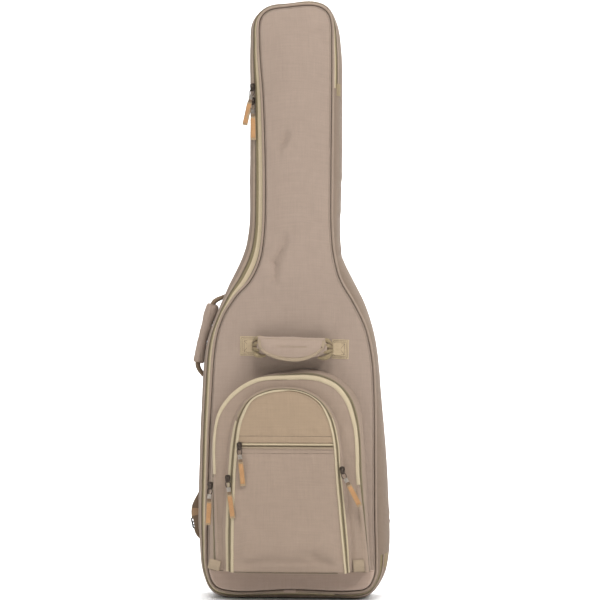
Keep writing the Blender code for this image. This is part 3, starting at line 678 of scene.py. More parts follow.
def gusset_section(i, angles, skin=0.0045):
    """The padded side wall at a station: out along its face, back along its inside."""
    outer = []
    for angle in angles:
        outer.append(ring.edge(i, angle))
    side = Vector((ring.wide_out[i].x, 0.0, ring.wide_out[i].y))
    for y, turned_in in REAR_STEPS:
        place = Vector((ring.wide[i].x, y, ring.wide[i].y)) - side * turned_in
        tip = min(turned_in / 0.008, 1.0)
        outer.append((place, (side * (1.0 - 0.5 * tip) + Vector((0.0, tip, 0.0))).normalized()))
    last = len(outer) - 1
    shown = []
    hidden = []
    for k, (place, normal) in enumerate(outer):
        t = k / last
        free = math.sin(math.pi * t) ** 0.7
        wave = noise.noise(place * 17.0) * 0.0011 + noise.noise(place * 43.0 + Vector((3, 1, 2))) * 0.0004
        bulge = 0.0012 * free + wave * free
        if place.x > 0 and 0.62 < place.z < 0.92:
            for height, depth in NOTCHES:
                off = (place.z - height - 0.12 * (t - 0.5) * 0.05) / 0.0050
                bulge -= depth * math.exp(-off * off) * free
                bulge += 0.0012 * math.exp(-((off - 2.6) / 1.6) ** 2) * free
        point = place + normal * bulge
        shown.append(Vector((point.x, point.y, max(point.z, 0.0))))
        inner = place - normal * skin
        hidden.append(Vector((inner.x, inner.y, max(inner.z, skin))))
    return shown + hidden[::-1]


def lining_section(i, angles, near=0.0049, far=0.0068):
    """The dark lining that covers the inside of the side wall."""
    places = [ring.edge(i, angle) for angle in angles]
    side = Vector((ring.wide_out[i].x, 0.0, ring.wide_out[i].y))
    for y in (0.004, 0.018, 0.031):
        places.append((Vector((ring.wide[i].x, y, ring.wide[i].y)), side))
    near_side = [p - n * near for p, n in places]
    far_side = [p - n * far for p, n in places]
    return [Vector((p.x, p.y, max(p.z, 0.005))) for p in near_side + far_side[::-1]]


def edge_strip(name, rings, stations, angles, look, body, lift=0.0, thickness=0.0012, **more):
    """A tape lying on the rounded front edge."""
    steps = 5
    sections = []
    for i in stations:
        over = []
        under = []
        for k in range(steps + 1):
            angle = angles[0] + (angles[1] - angles[0]) * k / steps
            crown = math.sin(math.pi * k / steps) * 0.0003
            over.append(rings.edge(i, angle, lift + crown)[0])
            under.append(rings.edge(i, angle, lift - thickness)[0])
        sections.append(over + under[::-1])
    return loft(name, sections, look, body, **more)


def coil_half(name, rings, stations, angles, body, lift, height=0.0011):
    """One half of a coil zip: a bead whose teeth stand up one after another."""
    sections = []
    for n, i in enumerate(stations):
        top = height if n % 2 else height * 0.35
        sections.append([
            rings.edge(i, angles[0], lift)[0],
            rings.edge(i, angles[0] * 0.7 + angles[1] * 0.3, lift + top)[0],
            rings.edge(i, angles[0] * 0.3 + angles[1] * 0.7, lift + top)[0],
            rings.edge(i, angles[1], lift)[0], rings.edge(i, angles[1], lift - 0.001)[0],
            rings.edge(i, angles[0], lift - 0.001)[0],
        ])
    return loft(name, sections, "coil", body, sharp=math.radians(20.0))


def ring_line(offset, y, rings, stations=None, outline="seam"):
    """A line of places round the outline at one depth."""
    points = getattr(rings, outline)
    normals = getattr(rings, outline + "_out")
    moved = grow(points, normals, offset)
    return [Vector((moved[i].x, y, moved[i].y)) for i in (stations or rings.all)]


def build_shell():
    """The side wall, its linings, both halves of the main zip, and the pipings."""
    # both side walls take the darkened side fabric: painted shade
    loft("gusset_zip_side", [gusset_section(i, ZIP_SIDE_ANGLES) for i in ring.zip], "side", "bag_shell",
         replaces=["side_gusset"], fill=0.7)
    loft("gusset_hinge_side", [gusset_section(i, HINGE_SIDE_ANGLES) for i in ring.hinge], "side",
         "cover", replaces=["hinge_gusset"], fill=0.7)
    loft("gusset_lining_zip_side", [lining_section(i, (58.0, 74.0, 90.0)) for i in ring.zip], "lining",
         "bag_shell", sheet=(0.0566, 2.05, "stretched"))
    creased = [lining_section(i, (16.0, 34.0, 52.0, 70.0, 90.0), 0.0200, 0.0218) for i in ring.hinge]
    loft("gusset_lining_hinge_side", creased, "lining", "cover", sheet=(0.0742, 0.98, "stretched"))
    edge_strip("rear_tape", ring, ring.zip, (37.6, 50.5), "pocket", "bag_shell", 0.0006,
               replaces=["rear_zip_tape"], sheet=(0.0077, 2.02, "stretched"))
    corner = [i for i in ring.zip if ring.seam[i].x > 0.09 and ring.seam[i].y < 0.30]
    lit = [i for i in ring.zip if i not in corner]
    edge_strip("front_tape", ring, corner[-1:] + lit, (10.2, 24.0), "tape", "cover", 0.0009,
               replaces=["front_zip_tape"], sheet=(0.0070, 1.84, "stretched"))
    # the tape at the lower right corner takes the darkened side fabric: painted shade there, beside the lit
    # rest of the tape
    edge_strip("front_tape_corner", ring, corner + lit[:1], (10.2, 24.0), "side", "cover", 0.0009,
               sheet=(0.0070, 0.12, "stretched"))
    # the tape's outer part, next to the coil, takes the darker tape colour: painted shade
    edge_strip("front_tape_fold_shade", ring, ring.zip, (22.5, 34.4), "tape_painted_shade", "cover", 0.0004,
               sheet=(0.0064, 1.98, "stretched"))
    coil_half("coil_rear", fine_ring, fine_ring.zip, (36.2, 38.8), "bag_shell", 0.0006)
    coil_half("coil_front", fine_ring, fine_ring.zip, (33.2, 35.8), "cover", 0.0006)
    tube("front_welt", ring_line(0.0031, -0.0514, ring), 0.0025, "piping", "cover", True,
         replaces=["front_piping"])
    tube("rear_welt", ring_line(-0.0036, 0.0436, ring, outline="wide"), 0.0027, "piping", "bag_shell", True,
         replaces=["rear_piping"])
    edge_strip("welt_lip", ring, ring.all, (1.0, 8.2), "piping", "cover", 0.0012, 0.0010)
    # a thin dark strip along the welt: painted shade in the groove beside it
    edge_strip("welt_groove_shade", ring, ring.all, (8.0, 10.4), "coil", "cover", 0.0008, 0.0006)


FOLDS = (
    # from x, z to x, z, depth, half width of each soft fold in the front
    (-0.007, 0.732, -0.029, 0.680, 0.0062, 0.0062), (-0.031, 0.678, -0.031, 0.634, 0.0060, 0.0060),
    (-0.043, 0.694, -0.031, 0.674, 0.0040, 0.0050), (0.006, 0.725, -0.014, 0.670, -0.0024, 0.0100),
    (-0.050, 0.672, -0.046, 0.630, -0.0020, 0.0090), (-0.004, 0.938, -0.026, 0.902, 0.0046, 0.0065),
    (0.010, 0.942, -0.006, 0.905, -0.0024, 0.0080), (0.030, 0.800, 0.036, 0.760, 0.0024, 0.0070),
    (0.050, 1.146, 0.070, 1.120, 0.0028, 0.0090), (-0.006, 0.945, -0.016, 0.915, 0.0022, 0.0080),
    (0.030, 1.165, 0.064, 1.150, -0.0020, 0.0120), (0.100, 0.610, 0.078, 0.520, 0.0024, 0.0110),
    (0.086, 0.640, 0.060, 0.540, -0.0020, 0.0120), (0.040, 0.760, 0.052, 0.650, 0.0018, 0.0120),
    (-0.080, 0.560, -0.110, 0.520, -0.0018, 0.0140), (-0.040, 0.860, -0.034, 0.740, 0.0016, 0.0100),
    (-0.150, 0.300, -0.150, 0.120, 0.0008, 0.0060), (0.157, 0.330, 0.160, 0.080, 0.0018, 0.0045),
    (0.060, 0.900, 0.064, 0.780, -0.0016, 0.0100), (-0.030, 1.080, -0.036, 1.000, -0.0014, 0.0120),
    (-0.060, 0.470, 0.070, 0.468, 0.0016, 0.0060), (0.120, 0.500, 0.140, 0.440, 0.0016, 0.0100),
)


def folds(x, z, listed):
    """The depth of soft valleys drawn as short lines with fading ends."""
    depth = np.zeros(len(x))
    for ax, az, bx, bz, deep, half in listed:
        dx, dz = bx - ax, bz - az
        length = math.hypot(dx, dz)
        t = ((x - ax) * dx + (z - az) * dz) / length ** 2
        aside = ((x - ax) * dz - (z - az) * dx) / length
        ends = ease(t * 3.0 + 0.6) * ease((1.0 - t) * 3.0 + 0.6)
        depth += deep * np.exp(-(aside / half) ** 2) * ends
    return depth


def arch(rows, share, offset=0.0):
    """A pocket's arch at a share of the way from its seam to its front, as x, z points."""
    samples, _ = smooth_path(rows, 0.009)
    run = [Vector((p[0], p[1])).lerp(Vector((p[2], p[3])), share) for p in samples]
    return [p + n * offset for p, n in zip(run, outward(run))]


def front_height(x, z, distance):
    """The front panel's outer face: crowned where it is free, flat under the pockets."""
    under, inside = edge_distance(np.stack([x, z], 1), arch(LARGE_POCKET, 0.0))
    free = ease(np.where(inside, 0.0, under) / 0.050) * ease((z - 0.06) / 0.06)
    crown = (0.0040 + 0.0040 * ease((z - 0.62) / 0.20)) * ease((distance - 0.004) / 0.055) * free
    spots = np.stack([x, np.zeros(len(x)), z], 1)
    waves = wander(spots, 9.0) * 0.0016 + wander(spots, 24.0, 4.0) * 0.00055
    soft = ease(distance / 0.03)
    rise = rounded(distance / 0.0075)
    pucker = 0.0004 * np.sin((x + z) * math.tau / 0.021 + wander(spots, 30.0, 8.0) * 3.0)
    pucker *= np.exp(-distance / 0.010) * ease(distance / 0.003)
    y = -0.0482 - 0.0070 * rise - crown - waves * soft * (0.25 + 0.75 * free) - pucker
    return y + folds(x, z, FOLDS) * soft


def quilting(x, z):
    """The shallow bumps of a lining over its foam."""
    return 0.0004 * np.sin(x * 95.0) * np.sin(z * 95.0)


def build_front():
    """The padded front panel, its lining and the band along the base."""
    flat_back = lambda x, z, d: -0.0482 + 0.0008 * rounded(d / 0.01)
    panel = pillow("front_cloth", ring.seam, front_height, flat_back, "shell", spacing=0.0075)
    puff(panel, 1.2, 0.0035, front_pins)
    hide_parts("front_panel", "hinge_panel")
    tree = surface_of(panel)
    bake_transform(panel)
    inner = grow(ring.seam, ring.seam_out, -0.012)
    pillow("front_inside", inner, lambda x, z, d: -0.0470 + 0.0005 * (1 - rounded(d / 0.004)),
           lambda x, z, d: -0.0462 + 0.0022 * rounded(d / 0.006) + quilting(x, z), "lining", "cover", 0.014,
           (0.003,), replaces=["front_lining"], fill=0.4)
    band = clip(grow(ring.seam, ring.seam_out, -0.0016), Vector((0.0, 0.0639)), Vector((0.0, 1.0)))

    def band_front(x, z, d):
        spots = np.stack([x, np.zeros(len(x)), z], 1)
        return -0.0560 - 0.0026 * rounded(d / 0.0060) - wander(spots, 22.0) * 0.0006 * ease(d / 0.01)

    base = pillow("base_cloth", band, band_front, lambda x, z, d: -0.0560 + 0.0001 * ease(d / 0.01), "base",
                  "front_cover", 0.006, (0.0010, 0.0026, 0.0050), replaces=["base_band"], fill=0.3)
    return tree, base


def front_pins(rest):
    """How firmly each vertex of the front panel stays: its back, its edge and the pocket seams."""
    spots = rest[:, [0, 2]]
    distance, _ = edge_distance(spots, ring.seam)
    held = np.where(rest[:, 1] > -0.0490, 1.0, np.clip(1.0 - distance / 0.012, 0.0, 1.0))
    _, inside = edge_distance(spots, arch(LARGE_POCKET, 0.0, 0.010))
    held = np.where(inside | (spots[:, 1] < 0.070), 1.0, held)
    for x, z in ((-0.0835, 0.5115), (0.1010, 0.5055)):
        near = np.hypot(spots[:, 0] - x, spots[:, 1] - z)
        held = np.maximum(held, np.clip(1.6 - near / 0.022, 0.0, 1.0))
    return held


build_shell()
front_tree, base_cloth = build_front()


def build_back():
    """The padded back panel and its lining."""
    outline = grow(ring.wide, ring.wide_out, -0.0072)

    def back_face(x, z, d):
        spots = np.stack([x, np.ones(len(x)), z], 1)
        waves = wander(spots, 8.0) * 0.0009 + wander(spots, 25.0, 5.0) * 0.0003
        return 0.0405 + 0.0072 * rounded(d / 0.0075) + waves * ease(d / 0.03)

    panel = pillow("back_cloth", outline, lambda x, z, d: 0.0405 - 0.0002 * ease(d / 0.01), back_face,
                   "shell", spacing=0.010)
    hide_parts("back_panel")
    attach(panel, "bag_shell")
    inner = grow(ring.wide, ring.wide_out, -0.0175)
    pillow("back_inside", inner, lambda x, z, d: 0.0385 - 0.0030 * rounded(d / 0.006) + quilting(x, z),
           lambda x, z, d: 0.0385 + 0.0012 * rounded(d / 0.006), "lining", "bag_shell", 0.014, (0.003,),
           replaces=["back_lining"], fill=0.4)


build_back()


# ---- pockets -------------------------------------------------------------------------------
def pocket_strip(name, rows, share, depth, thickness, look, body, bow=0.0, spacing=0.009, closed=False,
                 keep=None, **more):
    """A strip of an arch-shaped wall; share and depth run from its near to its far edge."""
    steps = 5
    runs = []
    for k in range(steps + 1):
        t = k / steps
        at = share[0] + (share[1] - share[0]) * t
        y = depth[0] + (depth[1] - depth[0]) * t
        swell = bow * math.sin(math.pi * t)
        run = resample(arch(rows, at), spacing)
        if closed:
            run += resample([run[-1], run[0]], spacing)[1:-1]
        runs.append((run, y, swell))
    count = min(len(run) for run, _, _ in runs)
    shaped = []
    for run, y, swell in runs:
        run = resample(run, sum((b - a).length for a, b in zip(run, run[1:])) / (count - 1))[:count]
        shaped.append((run, outward(run, closed), y, swell))
    count = min(len(run) for run, _, _, _ in shaped)
    sections = []
    for i in range(count):
        if keep and not keep(shaped[0][0][i]):
            continue
        over = []
        under = []
        for run, normals, y, swell in shaped:
            wave = noise.noise(Vector((run[i].x, y, run[i].y)) * 40.0) * bow * 0.5
            place = run[i] + normals[i] * (swell + wave)
            inner = run[i] - normals[i] * thickness
            over.append(Vector((place.x, y, place.y)))
            under.append(Vector((inner.x, y, inner.y)))
        sections.append(over + under[::-1])
    return loft(name, sections, look, body, closed, **more)


def arch_coil(name, rows, share, y, side, body, out=0.0, pitch=0.0014):
    """Half a coil zip along an arch: a bead of teeth just in front of or behind the zip line."""
    run = resample(arch(rows, share, out), pitch)
    normals = outward(run)
    sections = []
    for n, (p, across) in enumerate(zip(run, normals)):
        top = 0.0012 if n % 2 else 0.0004
        inner, outer = y, y + side * 0.0019
        near = Vector((p.x, 0.0, p.y))
        out_way = Vector((across.x, 0.0, across.y))
        corners = ((inner, 0.0), (inner * 0.7 + outer * 0.3, top), (inner * 0.3 + outer * 0.7, top),
                   (outer, 0.0), (outer, -0.0012), (inner, -0.0012))
        sections.append([near + out_way * lift + Vector((0.0, depth, 0.0)) for depth, lift in corners])
    return loft(name, sections, "coil", body, sharp=math.radians(20.0))


def binding(name, rows, look, body, y_edge, y_face, width, thickness=0.0010, wrap=0.0010, keep=None,
            narrow=None, **more):
    """A folded tape over the edge of a pocket's face: keep picks its part of the arch, narrow its share."""
    run = resample(arch(rows, 1.0), 0.006)
    normals = outward(run)
    if keep:
        picked = [k for k, p in enumerate(run) if keep(p)]
        run, normals = [run[k] for k in picked], [normals[k] for k in picked]
    profile = ((wrap, y_edge + 0.0012), (wrap + 0.0003, (y_edge + y_face) / 2),
               (wrap - 0.0010, y_face + 0.0004), (-0.0020, y_face - 0.0005),
               (-width * 0.5, y_face - 0.0008), (-width, y_face - 0.0006),
               (-width - 0.0002, y_face - 0.0006 + thickness), (-width * 0.5, y_face + thickness),
               (-0.0020, y_face + thickness + 0.0006), (wrap - 0.0014, (y_edge + y_face) / 2),
               (wrap - 0.0014, y_edge + 0.0012))
    sections = []
    for p, across in zip(run, normals):
        wave = noise.noise(Vector((p.x, 0.0, p.y)) * 55.0) * 0.0004
        slim = narrow(p) if narrow else 1.0
        sections.append([Vector((p.x + across.x * (out * (slim if out < 0.0 else 1.0) + wave), y,
                                 p.y + across.y * (out * (slim if out < 0.0 else 1.0) + wave)))
                         for out, y in profile])
    return loft(name, sections, look, body, **more)


def face_shape(y_edge, y_face, crown, listed=(), flat_under=None, sag=0.0, seed=0.0, tuck=0.0):
    """The front of a pocket: rounded at its edge, crowned, creased, and tucked in along its bottom."""
    def shape(x, z, d):
        spots = np.stack([x, np.zeros(len(x)), z], 1)
        free = np.ones(len(x))
        if flat_under is not None:
            away, inside = edge_distance(np.stack([x, z], 1), flat_under)
            free = ease(np.where(inside, 0.0, away) / 0.012)
        rise = rounded(d / 0.0050)
        swell = crown * ease((d - 0.006) / 0.040)
        swell += sag * np.exp(-((z - 0.120) / 0.032) ** 2) * ease(d / 0.03)
        waves = wander(spots, 14.0, seed) * 0.0018 + wander(spots, 36.0, seed + 3.0) * 0.0007
        inset = tuck * ease((0.140 - z) / 0.080) * ease((0.102 - np.abs(x - 0.004)) / 0.060)
        y = (y_edge - (y_edge - y_face) * rise + inset
             - (swell + waves * ease(d / 0.02) - folds(x, z, listed) * ease(d / 0.01)) * free)
        return np.minimum(y, y_edge - 0.0010 * rise)
    return shape


LARGE_FOLDS = (
    (-0.096, 0.408, -0.078, 0.384, 0.0028, 0.0036), (-0.084, 0.420, -0.104, 0.390, -0.0020, 0.0050),
    (-0.120, 0.372, -0.102, 0.352, 0.0018, 0.0040), (-0.146, 0.258, -0.120, 0.288, 0.0026, 0.0042),
    (-0.142, 0.236, -0.118, 0.250, -0.0022, 0.0056), (-0.140, 0.226, -0.124, 0.232, 0.0018, 0.0035),
    (0.100, 0.372, 0.124, 0.350, 0.0022, 0.0045), (0.112, 0.300, 0.130, 0.282, 0.0024, 0.0046),
    (0.104, 0.345, 0.122, 0.362, -0.0018, 0.0060), (-0.136, 0.200, -0.128, 0.120, 0.0018, 0.0056),
    (0.136, 0.224, 0.142, 0.100, 0.0026, 0.0046), (0.128, 0.240, 0.124, 0.130, -0.0020, 0.0056),
    (0.020, 0.440, 0.050, 0.436, 0.0012, 0.0040), (-0.130, 0.150, -0.124, 0.090, -0.0018, 0.0060),
    (0.146, 0.150, 0.150, 0.085, -0.0018, 0.0050), (-0.030, 0.442, -0.008, 0.440, 0.0012, 0.0035),
)
SMALL_FOLDS = (
    (-0.034, 0.303, -0.026, 0.235, -0.0022, 0.0070), (-0.012, 0.303, -0.008, 0.270, 0.0012, 0.0060),
    (0.044, 0.303, 0.060, 0.255, -0.0018, 0.0070), (0.072, 0.300, 0.062, 0.235, 0.0016, 0.0070),
    (-0.090, 0.084, 0.085, 0.082, 0.0018, 0.0060), (0.030, 0.210, 0.076, 0.150, -0.0022, 0.0160),
    (-0.060, 0.220, -0.085, 0.140, 0.0014, 0.0120), (0.050, 0.120, 0.092, 0.100, -0.0020, 0.0100),
    (-0.098, 0.128, -0.060, 0.096, 0.0018, 0.0080), (0.020, 0.110, 0.074, 0.088, 0.0016, 0.0080),
    (-0.080, 0.190, -0.074, 0.120, -0.0016, 0.0100), (-0.090, 0.300, -0.080, 0.270, 0.0016, 0.0050),
)
TOP_FOLDS = (
    (-0.035, 0.347, -0.045, 0.328, 0.0018, 0.0036), (0.045, 0.352, 0.060, 0.334, 0.0018, 0.0036),
    (-0.066, 0.382, -0.040, 0.402, -0.0016, 0.0060), (0.030, 0.398, 0.058, 0.384, 0.0014, 0.0050),
    (0.000, 0.347, 0.006, 0.328, 0.0012, 0.0034), (-0.060, 0.352, -0.074, 0.334, 0.0014, 0.0040),
)
FLAT_LOW, FLAT_HIGH = 0.3110, 0.3195


def face_outline(rows):
    """A pocket's front face: its arch closed along the base."""
    return arch(rows, 1.0)


def share_at(p, left, right, more, low, reach):
    """A binding's share of its full width at a point: by its side, then more of it above a height."""
    return (left if p.x < 0.0 else right) + more * float(ease(np.array((p.y - low) / reach)))


def build_large_pocket():
    """The large pocket: wall on the cover, tapes, bound face on the flap."""
    pocket_strip("large_wall", LARGE_POCKET, (0.0, 0.62), (-0.0557, -0.0745), 0.003, "pocket", "front_cover",
                 0.0012, closed=True, replaces=["large_pocket_gusset"], sheet=(0.0210, 1.43, "stretched"))
    # the large pocket's zip tapes take the darker tape colour: painted shade
    pocket_strip("large_tape_outer", LARGE_POCKET, (0.60, 0.80), (-0.0740, -0.0802), 0.0012, "tape_painted_shade",
                 "front_cover", 0.0003, sheet=(0.0070, 1.12, "stretched"))
    arch_coil("large_coil_outer", LARGE_POCKET, 0.80, -0.0808, 1.0, "front_cover", 0.0004)
    arch_coil("large_coil_inner", LARGE_POCKET, 0.82, -0.0812, -1.0, "large_pocket_flap", 0.0004)
    pocket_strip("large_tape_inner", LARGE_POCKET, (0.84, 1.0), (-0.0830, -0.0882), 0.0012, "tape_painted_shade",
                 "large_pocket_flap", 0.0003, replaces=["large_pocket_zip_tape"],
                 sheet=(0.0060, 1.12, "stretched"))
    shape = face_shape(LARGE_EDGE_Y, -0.0924, 0.0022, LARGE_FOLDS,
                       flat_under=arch(SMALL_POCKET, 0.0, 0.001), sag=0.0030, seed=2.0)
    face = pillow("large_face", face_outline(LARGE_POCKET), shape,
                  lambda x, z, d: LARGE_EDGE_Y + 0.0006 * rounded(d / 0.01), "pocket", spacing=0.0065,
                  rims=(0.0012, 0.0030, 0.0056))
    puff(face, 1.0, 0.0025, large_pins, stiff=8.0)
    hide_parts("large_pocket_front")
    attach(face, "large_pocket_flap")
    ends = {"left": lambda p: p.x < 0.0 and p.y < 0.256, "right": lambda p: p.x > 0.0 and p.y < 0.234}
    binding("large_binding", LARGE_POCKET, "binding", "large_pocket_flap", LARGE_EDGE_Y, -0.0926, 0.0072,
            keep=lambda p: not ends["left"](p) and not ends["right"](p),
            narrow=lambda p: share_at(p, 0.60, 0.74, 0.36, 0.345, 0.08),
            sheet=(0.0104, 0.74, "folded"))
    for side, length in (("left", 0.188), ("right", 0.166)):
        binding("large_edge_" + side, LARGE_POCKET, "pocket", "large_pocket_flap", LARGE_EDGE_Y, -0.0925,
                0.0060, keep=ends[side], sheet=(0.0102, length, "folded"))


def large_pins(rest):
    """The large pocket's face is held at its edge, at its back and under the small pocket."""
    spots = rest[:, [0, 2]]
    distance, _ = edge_distance(spots, face_outline(LARGE_POCKET))
    held = np.where(rest[:, 1] > -0.0890, 1.0, np.clip(1.0 - distance / 0.010, 0.0, 1.0))
    _, inside = edge_distance(spots, arch(SMALL_POCKET, 0.0, 0.002))
    return np.where(inside, 1.0, held)


def small_pins(rest):
    """The small pocket's face is held at its edge and its back."""
    spots = rest[:, [0, 2]]
    distance, _ = edge_distance(spots, face_outline(SMALL_POCKET))
    held = np.where(rest[:, 1] > -0.1121, 1.0, np.clip(1.0 - distance / 0.009, 0.0, 1.0))
    near_zip = np.abs(spots[:, 1] - (FLAT_LOW + FLAT_HIGH) / 2)
    return np.maximum(held, np.clip(1.5 - near_zip / 0.014, 0.0, 1.0))


def build_small_pocket():
    """The small pocket with the flat pocket's zip across its face."""
    flap = "small_pocket_flap"
    pocket_strip("small_wall", SMALL_POCKET, (0.0, 0.45), (-0.0927, -0.1010), 0.003, "pocket",
                 "large_pocket_flap", 0.0010, closed=True, replaces=["small_pocket_gusset"],
                 sheet=(0.0113, 1.32, "stretched"))
    # the small pocket's zip tapes take the darker tape colour: painted shade
    pocket_strip("small_tape_outer", SMALL_POCKET, (0.58, 0.75), (-0.1028, -0.1062), 0.0012, "tape_painted_shade",
                 "large_pocket_flap", 0.0003, sheet=(0.0039, 1.05, "stretched"))
    left = lambda p: p.x < 0.0 and p.y < 0.372
    pocket_strip("small_rim_left", SMALL_POCKET, (0.32, 0.60), (-0.0990, -0.1036), 0.0026, "binding",
                 "large_pocket_flap", 0.0010, keep=left, sheet=(0.0066, 0.44, "folded"))
    right = lambda p: p.x > 0.0 and p.y < 0.372
    pocket_strip("small_rim_right", SMALL_POCKET, (0.44, 0.60), (-0.1004, -0.1036), 0.0026, "binding",
                 "large_pocket_flap", 0.0010, keep=right, sheet=(0.0066, 0.31, "folded"))
    pocket_strip("small_rim", SMALL_POCKET, (0.32, 0.60), (-0.0990, -0.1036), 0.0026, "trim",
                 "large_pocket_flap", 0.0010, keep=lambda p: not left(p) and not right(p),
                 sheet=(0.0066, 0.28, "folded"))
    arch_coil("small_coil_outer", SMALL_POCKET, 0.75, -0.1066, 1.0, "large_pocket_flap", 0.0004)
    arch_coil("small_coil_inner", SMALL_POCKET, 0.77, -0.1070, -1.0, flap, 0.0004)
    pocket_strip("small_tape_inner", SMALL_POCKET, (0.79, 1.0), (-0.1084, -0.1124), 0.0012, "tape_painted_shade", flap,
                 0.0003, replaces=["small_pocket_zip_tape"], sheet=(0.0052, 1.05, "stretched"))
    face = face_outline(SMALL_POCKET)
    up = Vector((0.0, 1.0))
    back = lambda x, z, d: SMALL_EDGE_Y + 0.0004 * rounded(d / 0.01)
    lower = clip(face, Vector((0.0, FLAT_LOW)), up)
    front = pillow("small_face", lower, face_shape(SMALL_EDGE_Y, -0.1158, 0.0022, SMALL_FOLDS,
                                                   sag=0.0090, seed=6.0, tuck=0.0075),
                   back, "pocket", spacing=0.0062, rims=(0.0012, 0.0030, 0.0056))
    upper = clip(face, Vector((0.0, FLAT_HIGH)), -up)
    top = pillow("small_top", upper, face_shape(SMALL_EDGE_Y, -0.1158, 0.0018, TOP_FOLDS, seed=9.0),
                 back, "patch", spacing=0.0062, rims=(0.0012, 0.0030, 0.0056))
    for piece, stands_for in ((front, "small_pocket_front"), (top, "small_pocket_top_panel")):
        puff(piece, 1.0, 0.0030, small_pins, stiff=8.0)
        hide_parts(stands_for)
    tree = surface_of(front, top)
    for piece in (front, top):
        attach(piece, flap)
    binding("small_binding", SMALL_POCKET, "binding", flap, SMALL_EDGE_Y, -0.1160, 0.0052,
            narrow=lambda p: share_at(p, 0.86, 0.50, -0.40, 0.370, 0.04),
            sheet=(0.0081, 1.03, "folded"))
    build_flat_zip(flap)
    return tree


def build_flat_zip(flap):
    """The straight zip of the flat pocket, sunk between two folded edges."""
    low_x, high_x = -0.1000, 0.0905
    middle = (FLAT_LOW + FLAT_HIGH) / 2
    half_apart = 0.0029
    tapes = (("lower", middle - half_apart, "trim", ["flat_pocket_zip_tape"]),
             ("upper", middle + half_apart, "tape", []))
    for name, z, look, stands_for in tapes:
        ribbon("flat_tape_" + name, [(x, -0.1142, z) for x in (low_x, -0.005, high_x)], 0.0042, 0.0010, look,
               flap, 0.01, smooth=False, replaces=stands_for, sheet=(0.0050, 0.1905, "stretched"))
    for name, side in (("lower", -1.0), ("upper", 1.0)):
        sections = []
        count = int((high_x - low_x) / 0.0014)
        for n in range(count + 1):
            x = low_x + (high_x - low_x) * n / count
            top = 0.0013 if n % 2 else 0.0005
            inner, outer = middle + side * 0.0001, middle + side * 0.0017
            corners = ((inner, 0.0), (inner * 0.7 + outer * 0.3, top), (inner * 0.3 + outer * 0.7, top),
                       (outer, 0.0), (outer, -0.0010), (inner, -0.0010))
            sections.append([Vector((x, -0.1146 - lift, z)) for z, lift in corners])
        loft("flat_coil_" + name, sections, "coil", flap, sharp=math.radians(20.0))


build_large_pocket()
small_tree = build_small_pocket()


# ---- sewn-on patches, tabs and rows of stitches ---------------------------------------------
def two_layers(outer, inner):
    """Faces of two grids of outer by inner cells, one above the other, joined round their rim."""
    width = inner + 1
    layer = width * (outer + 1)
    faces = []
    for i in range(outer):
        for k in range(inner):
            a = i * width + k
            faces.append((a, a + 1, a + width + 1, a + width))
            faces.append((layer + a, layer + a + width, layer + a + width + 1, layer + a + 1))
    rim = (list(range(width)) + [i * width + inner for i in range(1, outer + 1)]
           + [outer * width + k for k in range(inner - 1, -1, -1)]
           + [i * width for i in range(outer - 1, 0, -1)])
    for a, b in zip(rim, rim[1:] + rim[:1]):
        faces.append((b, a, layer + a, layer + b))
    return faces


def patch(name, tree, centre, size, look, body, thickness=0.0016, lean=0.0, curl=0.0, **more):
    """A small rectangle of webbing laid on a surface, with softened corners."""
    steps_x, steps_z = 10, 8
    turn = math.radians(lean)
    rows = []
    for r in range(steps_z + 1):
        row = []
        for c in range(steps_x + 1):
            u = (c / steps_x - 0.5) * size[0]
            v = (r / steps_z - 0.5) * size[1]
            row.append((centre[0] + u * math.cos(turn) - v * math.sin(turn),
                        centre[1] + u * math.sin(turn) + v * math.cos(turn)))
        rows.append(row)
    flat = [p for row in rows for p in row]
    top = lay(tree, flat, 0.0)
    verts = []
    for sign, lift in ((1, thickness), (0, 0.0002)):
        for n, (place, normal) in enumerate(top):
            c, r = n % (steps_x + 1), n // (steps_x + 1)
            rim = min(c, steps_x - c, r, steps_z - r)
            raise_by = lift * (0.55 if sign and rim == 0 else 1.0) + curl * max(0.0, 2 - rim) * 0.0002
            verts.append(place + Vector((0.0, -1.0, 0.0)) * raise_by)
    faces = two_layers(steps_z, steps_x)
    uvs = []
    for f in faces:
        uvs += [(verts[k].z, verts[k].x) for k in f]
    return make(name, verts, faces, look, body, uvs=uvs, sheet=(size[0], size[1], "stretched"), **more)


def frame_of(centre, size, inset, lean=0.0):
    """Corner points of a rectangle inset in a patch, closed."""
    turn = math.radians(lean)
    w, h = size[0] / 2 - inset, size[1] / 2 - inset
    corners = []
    for u, v in ((-w, -h), (w, -h), (w, h), (-w, h), (-w, -h)):
        corners.append((centre[0] + u * math.cos(turn) - v * math.sin(turn),
                        centre[1] + u * math.sin(turn) + v * math.cos(turn)))
    return corners


def run_between(points, spacing=0.004):
    """Points along straight lines between x, z corners."""
    return [tuple(p) for p in resample([Vector(p) for p in points], spacing)]


HANDLE_PATCHES = (("left", (-0.0835, 0.5115), -1.5), ("right", (0.1015, 0.5055), -2.0))


def build_patches():
    """The two handle patches with their boxed crosses."""
    size = (0.0340, 0.0390)
    for side, centre, lean in HANDLE_PATCHES:
        made = patch("handle_patch_cloth_" + side, front_tree, centre, size, "webbing", "front_cover",
                     lean=lean, replaces=["handle_patch_" + side])
        tree = surface_of(made)
        rows = []
        for inset in (0.0024, 0.0052):
            rows.append(lay(tree, run_between(frame_of(centre, size, inset, lean)), 0.0001))
        box = frame_of(centre, size, 0.0085, lean)
        rows.append(lay(tree, run_between(box), 0.0001))
        rows.append(lay(tree, run_between([box[0], box[2]]), 0.0001))
        rows.append(lay(tree, run_between([box[1], box[3]]), 0.0001))
        stitches("handle_patch_stitches_" + side, rows, "thread", "front_cover", length=0.0024,
                 gap=0.0014, radius=0.0004)


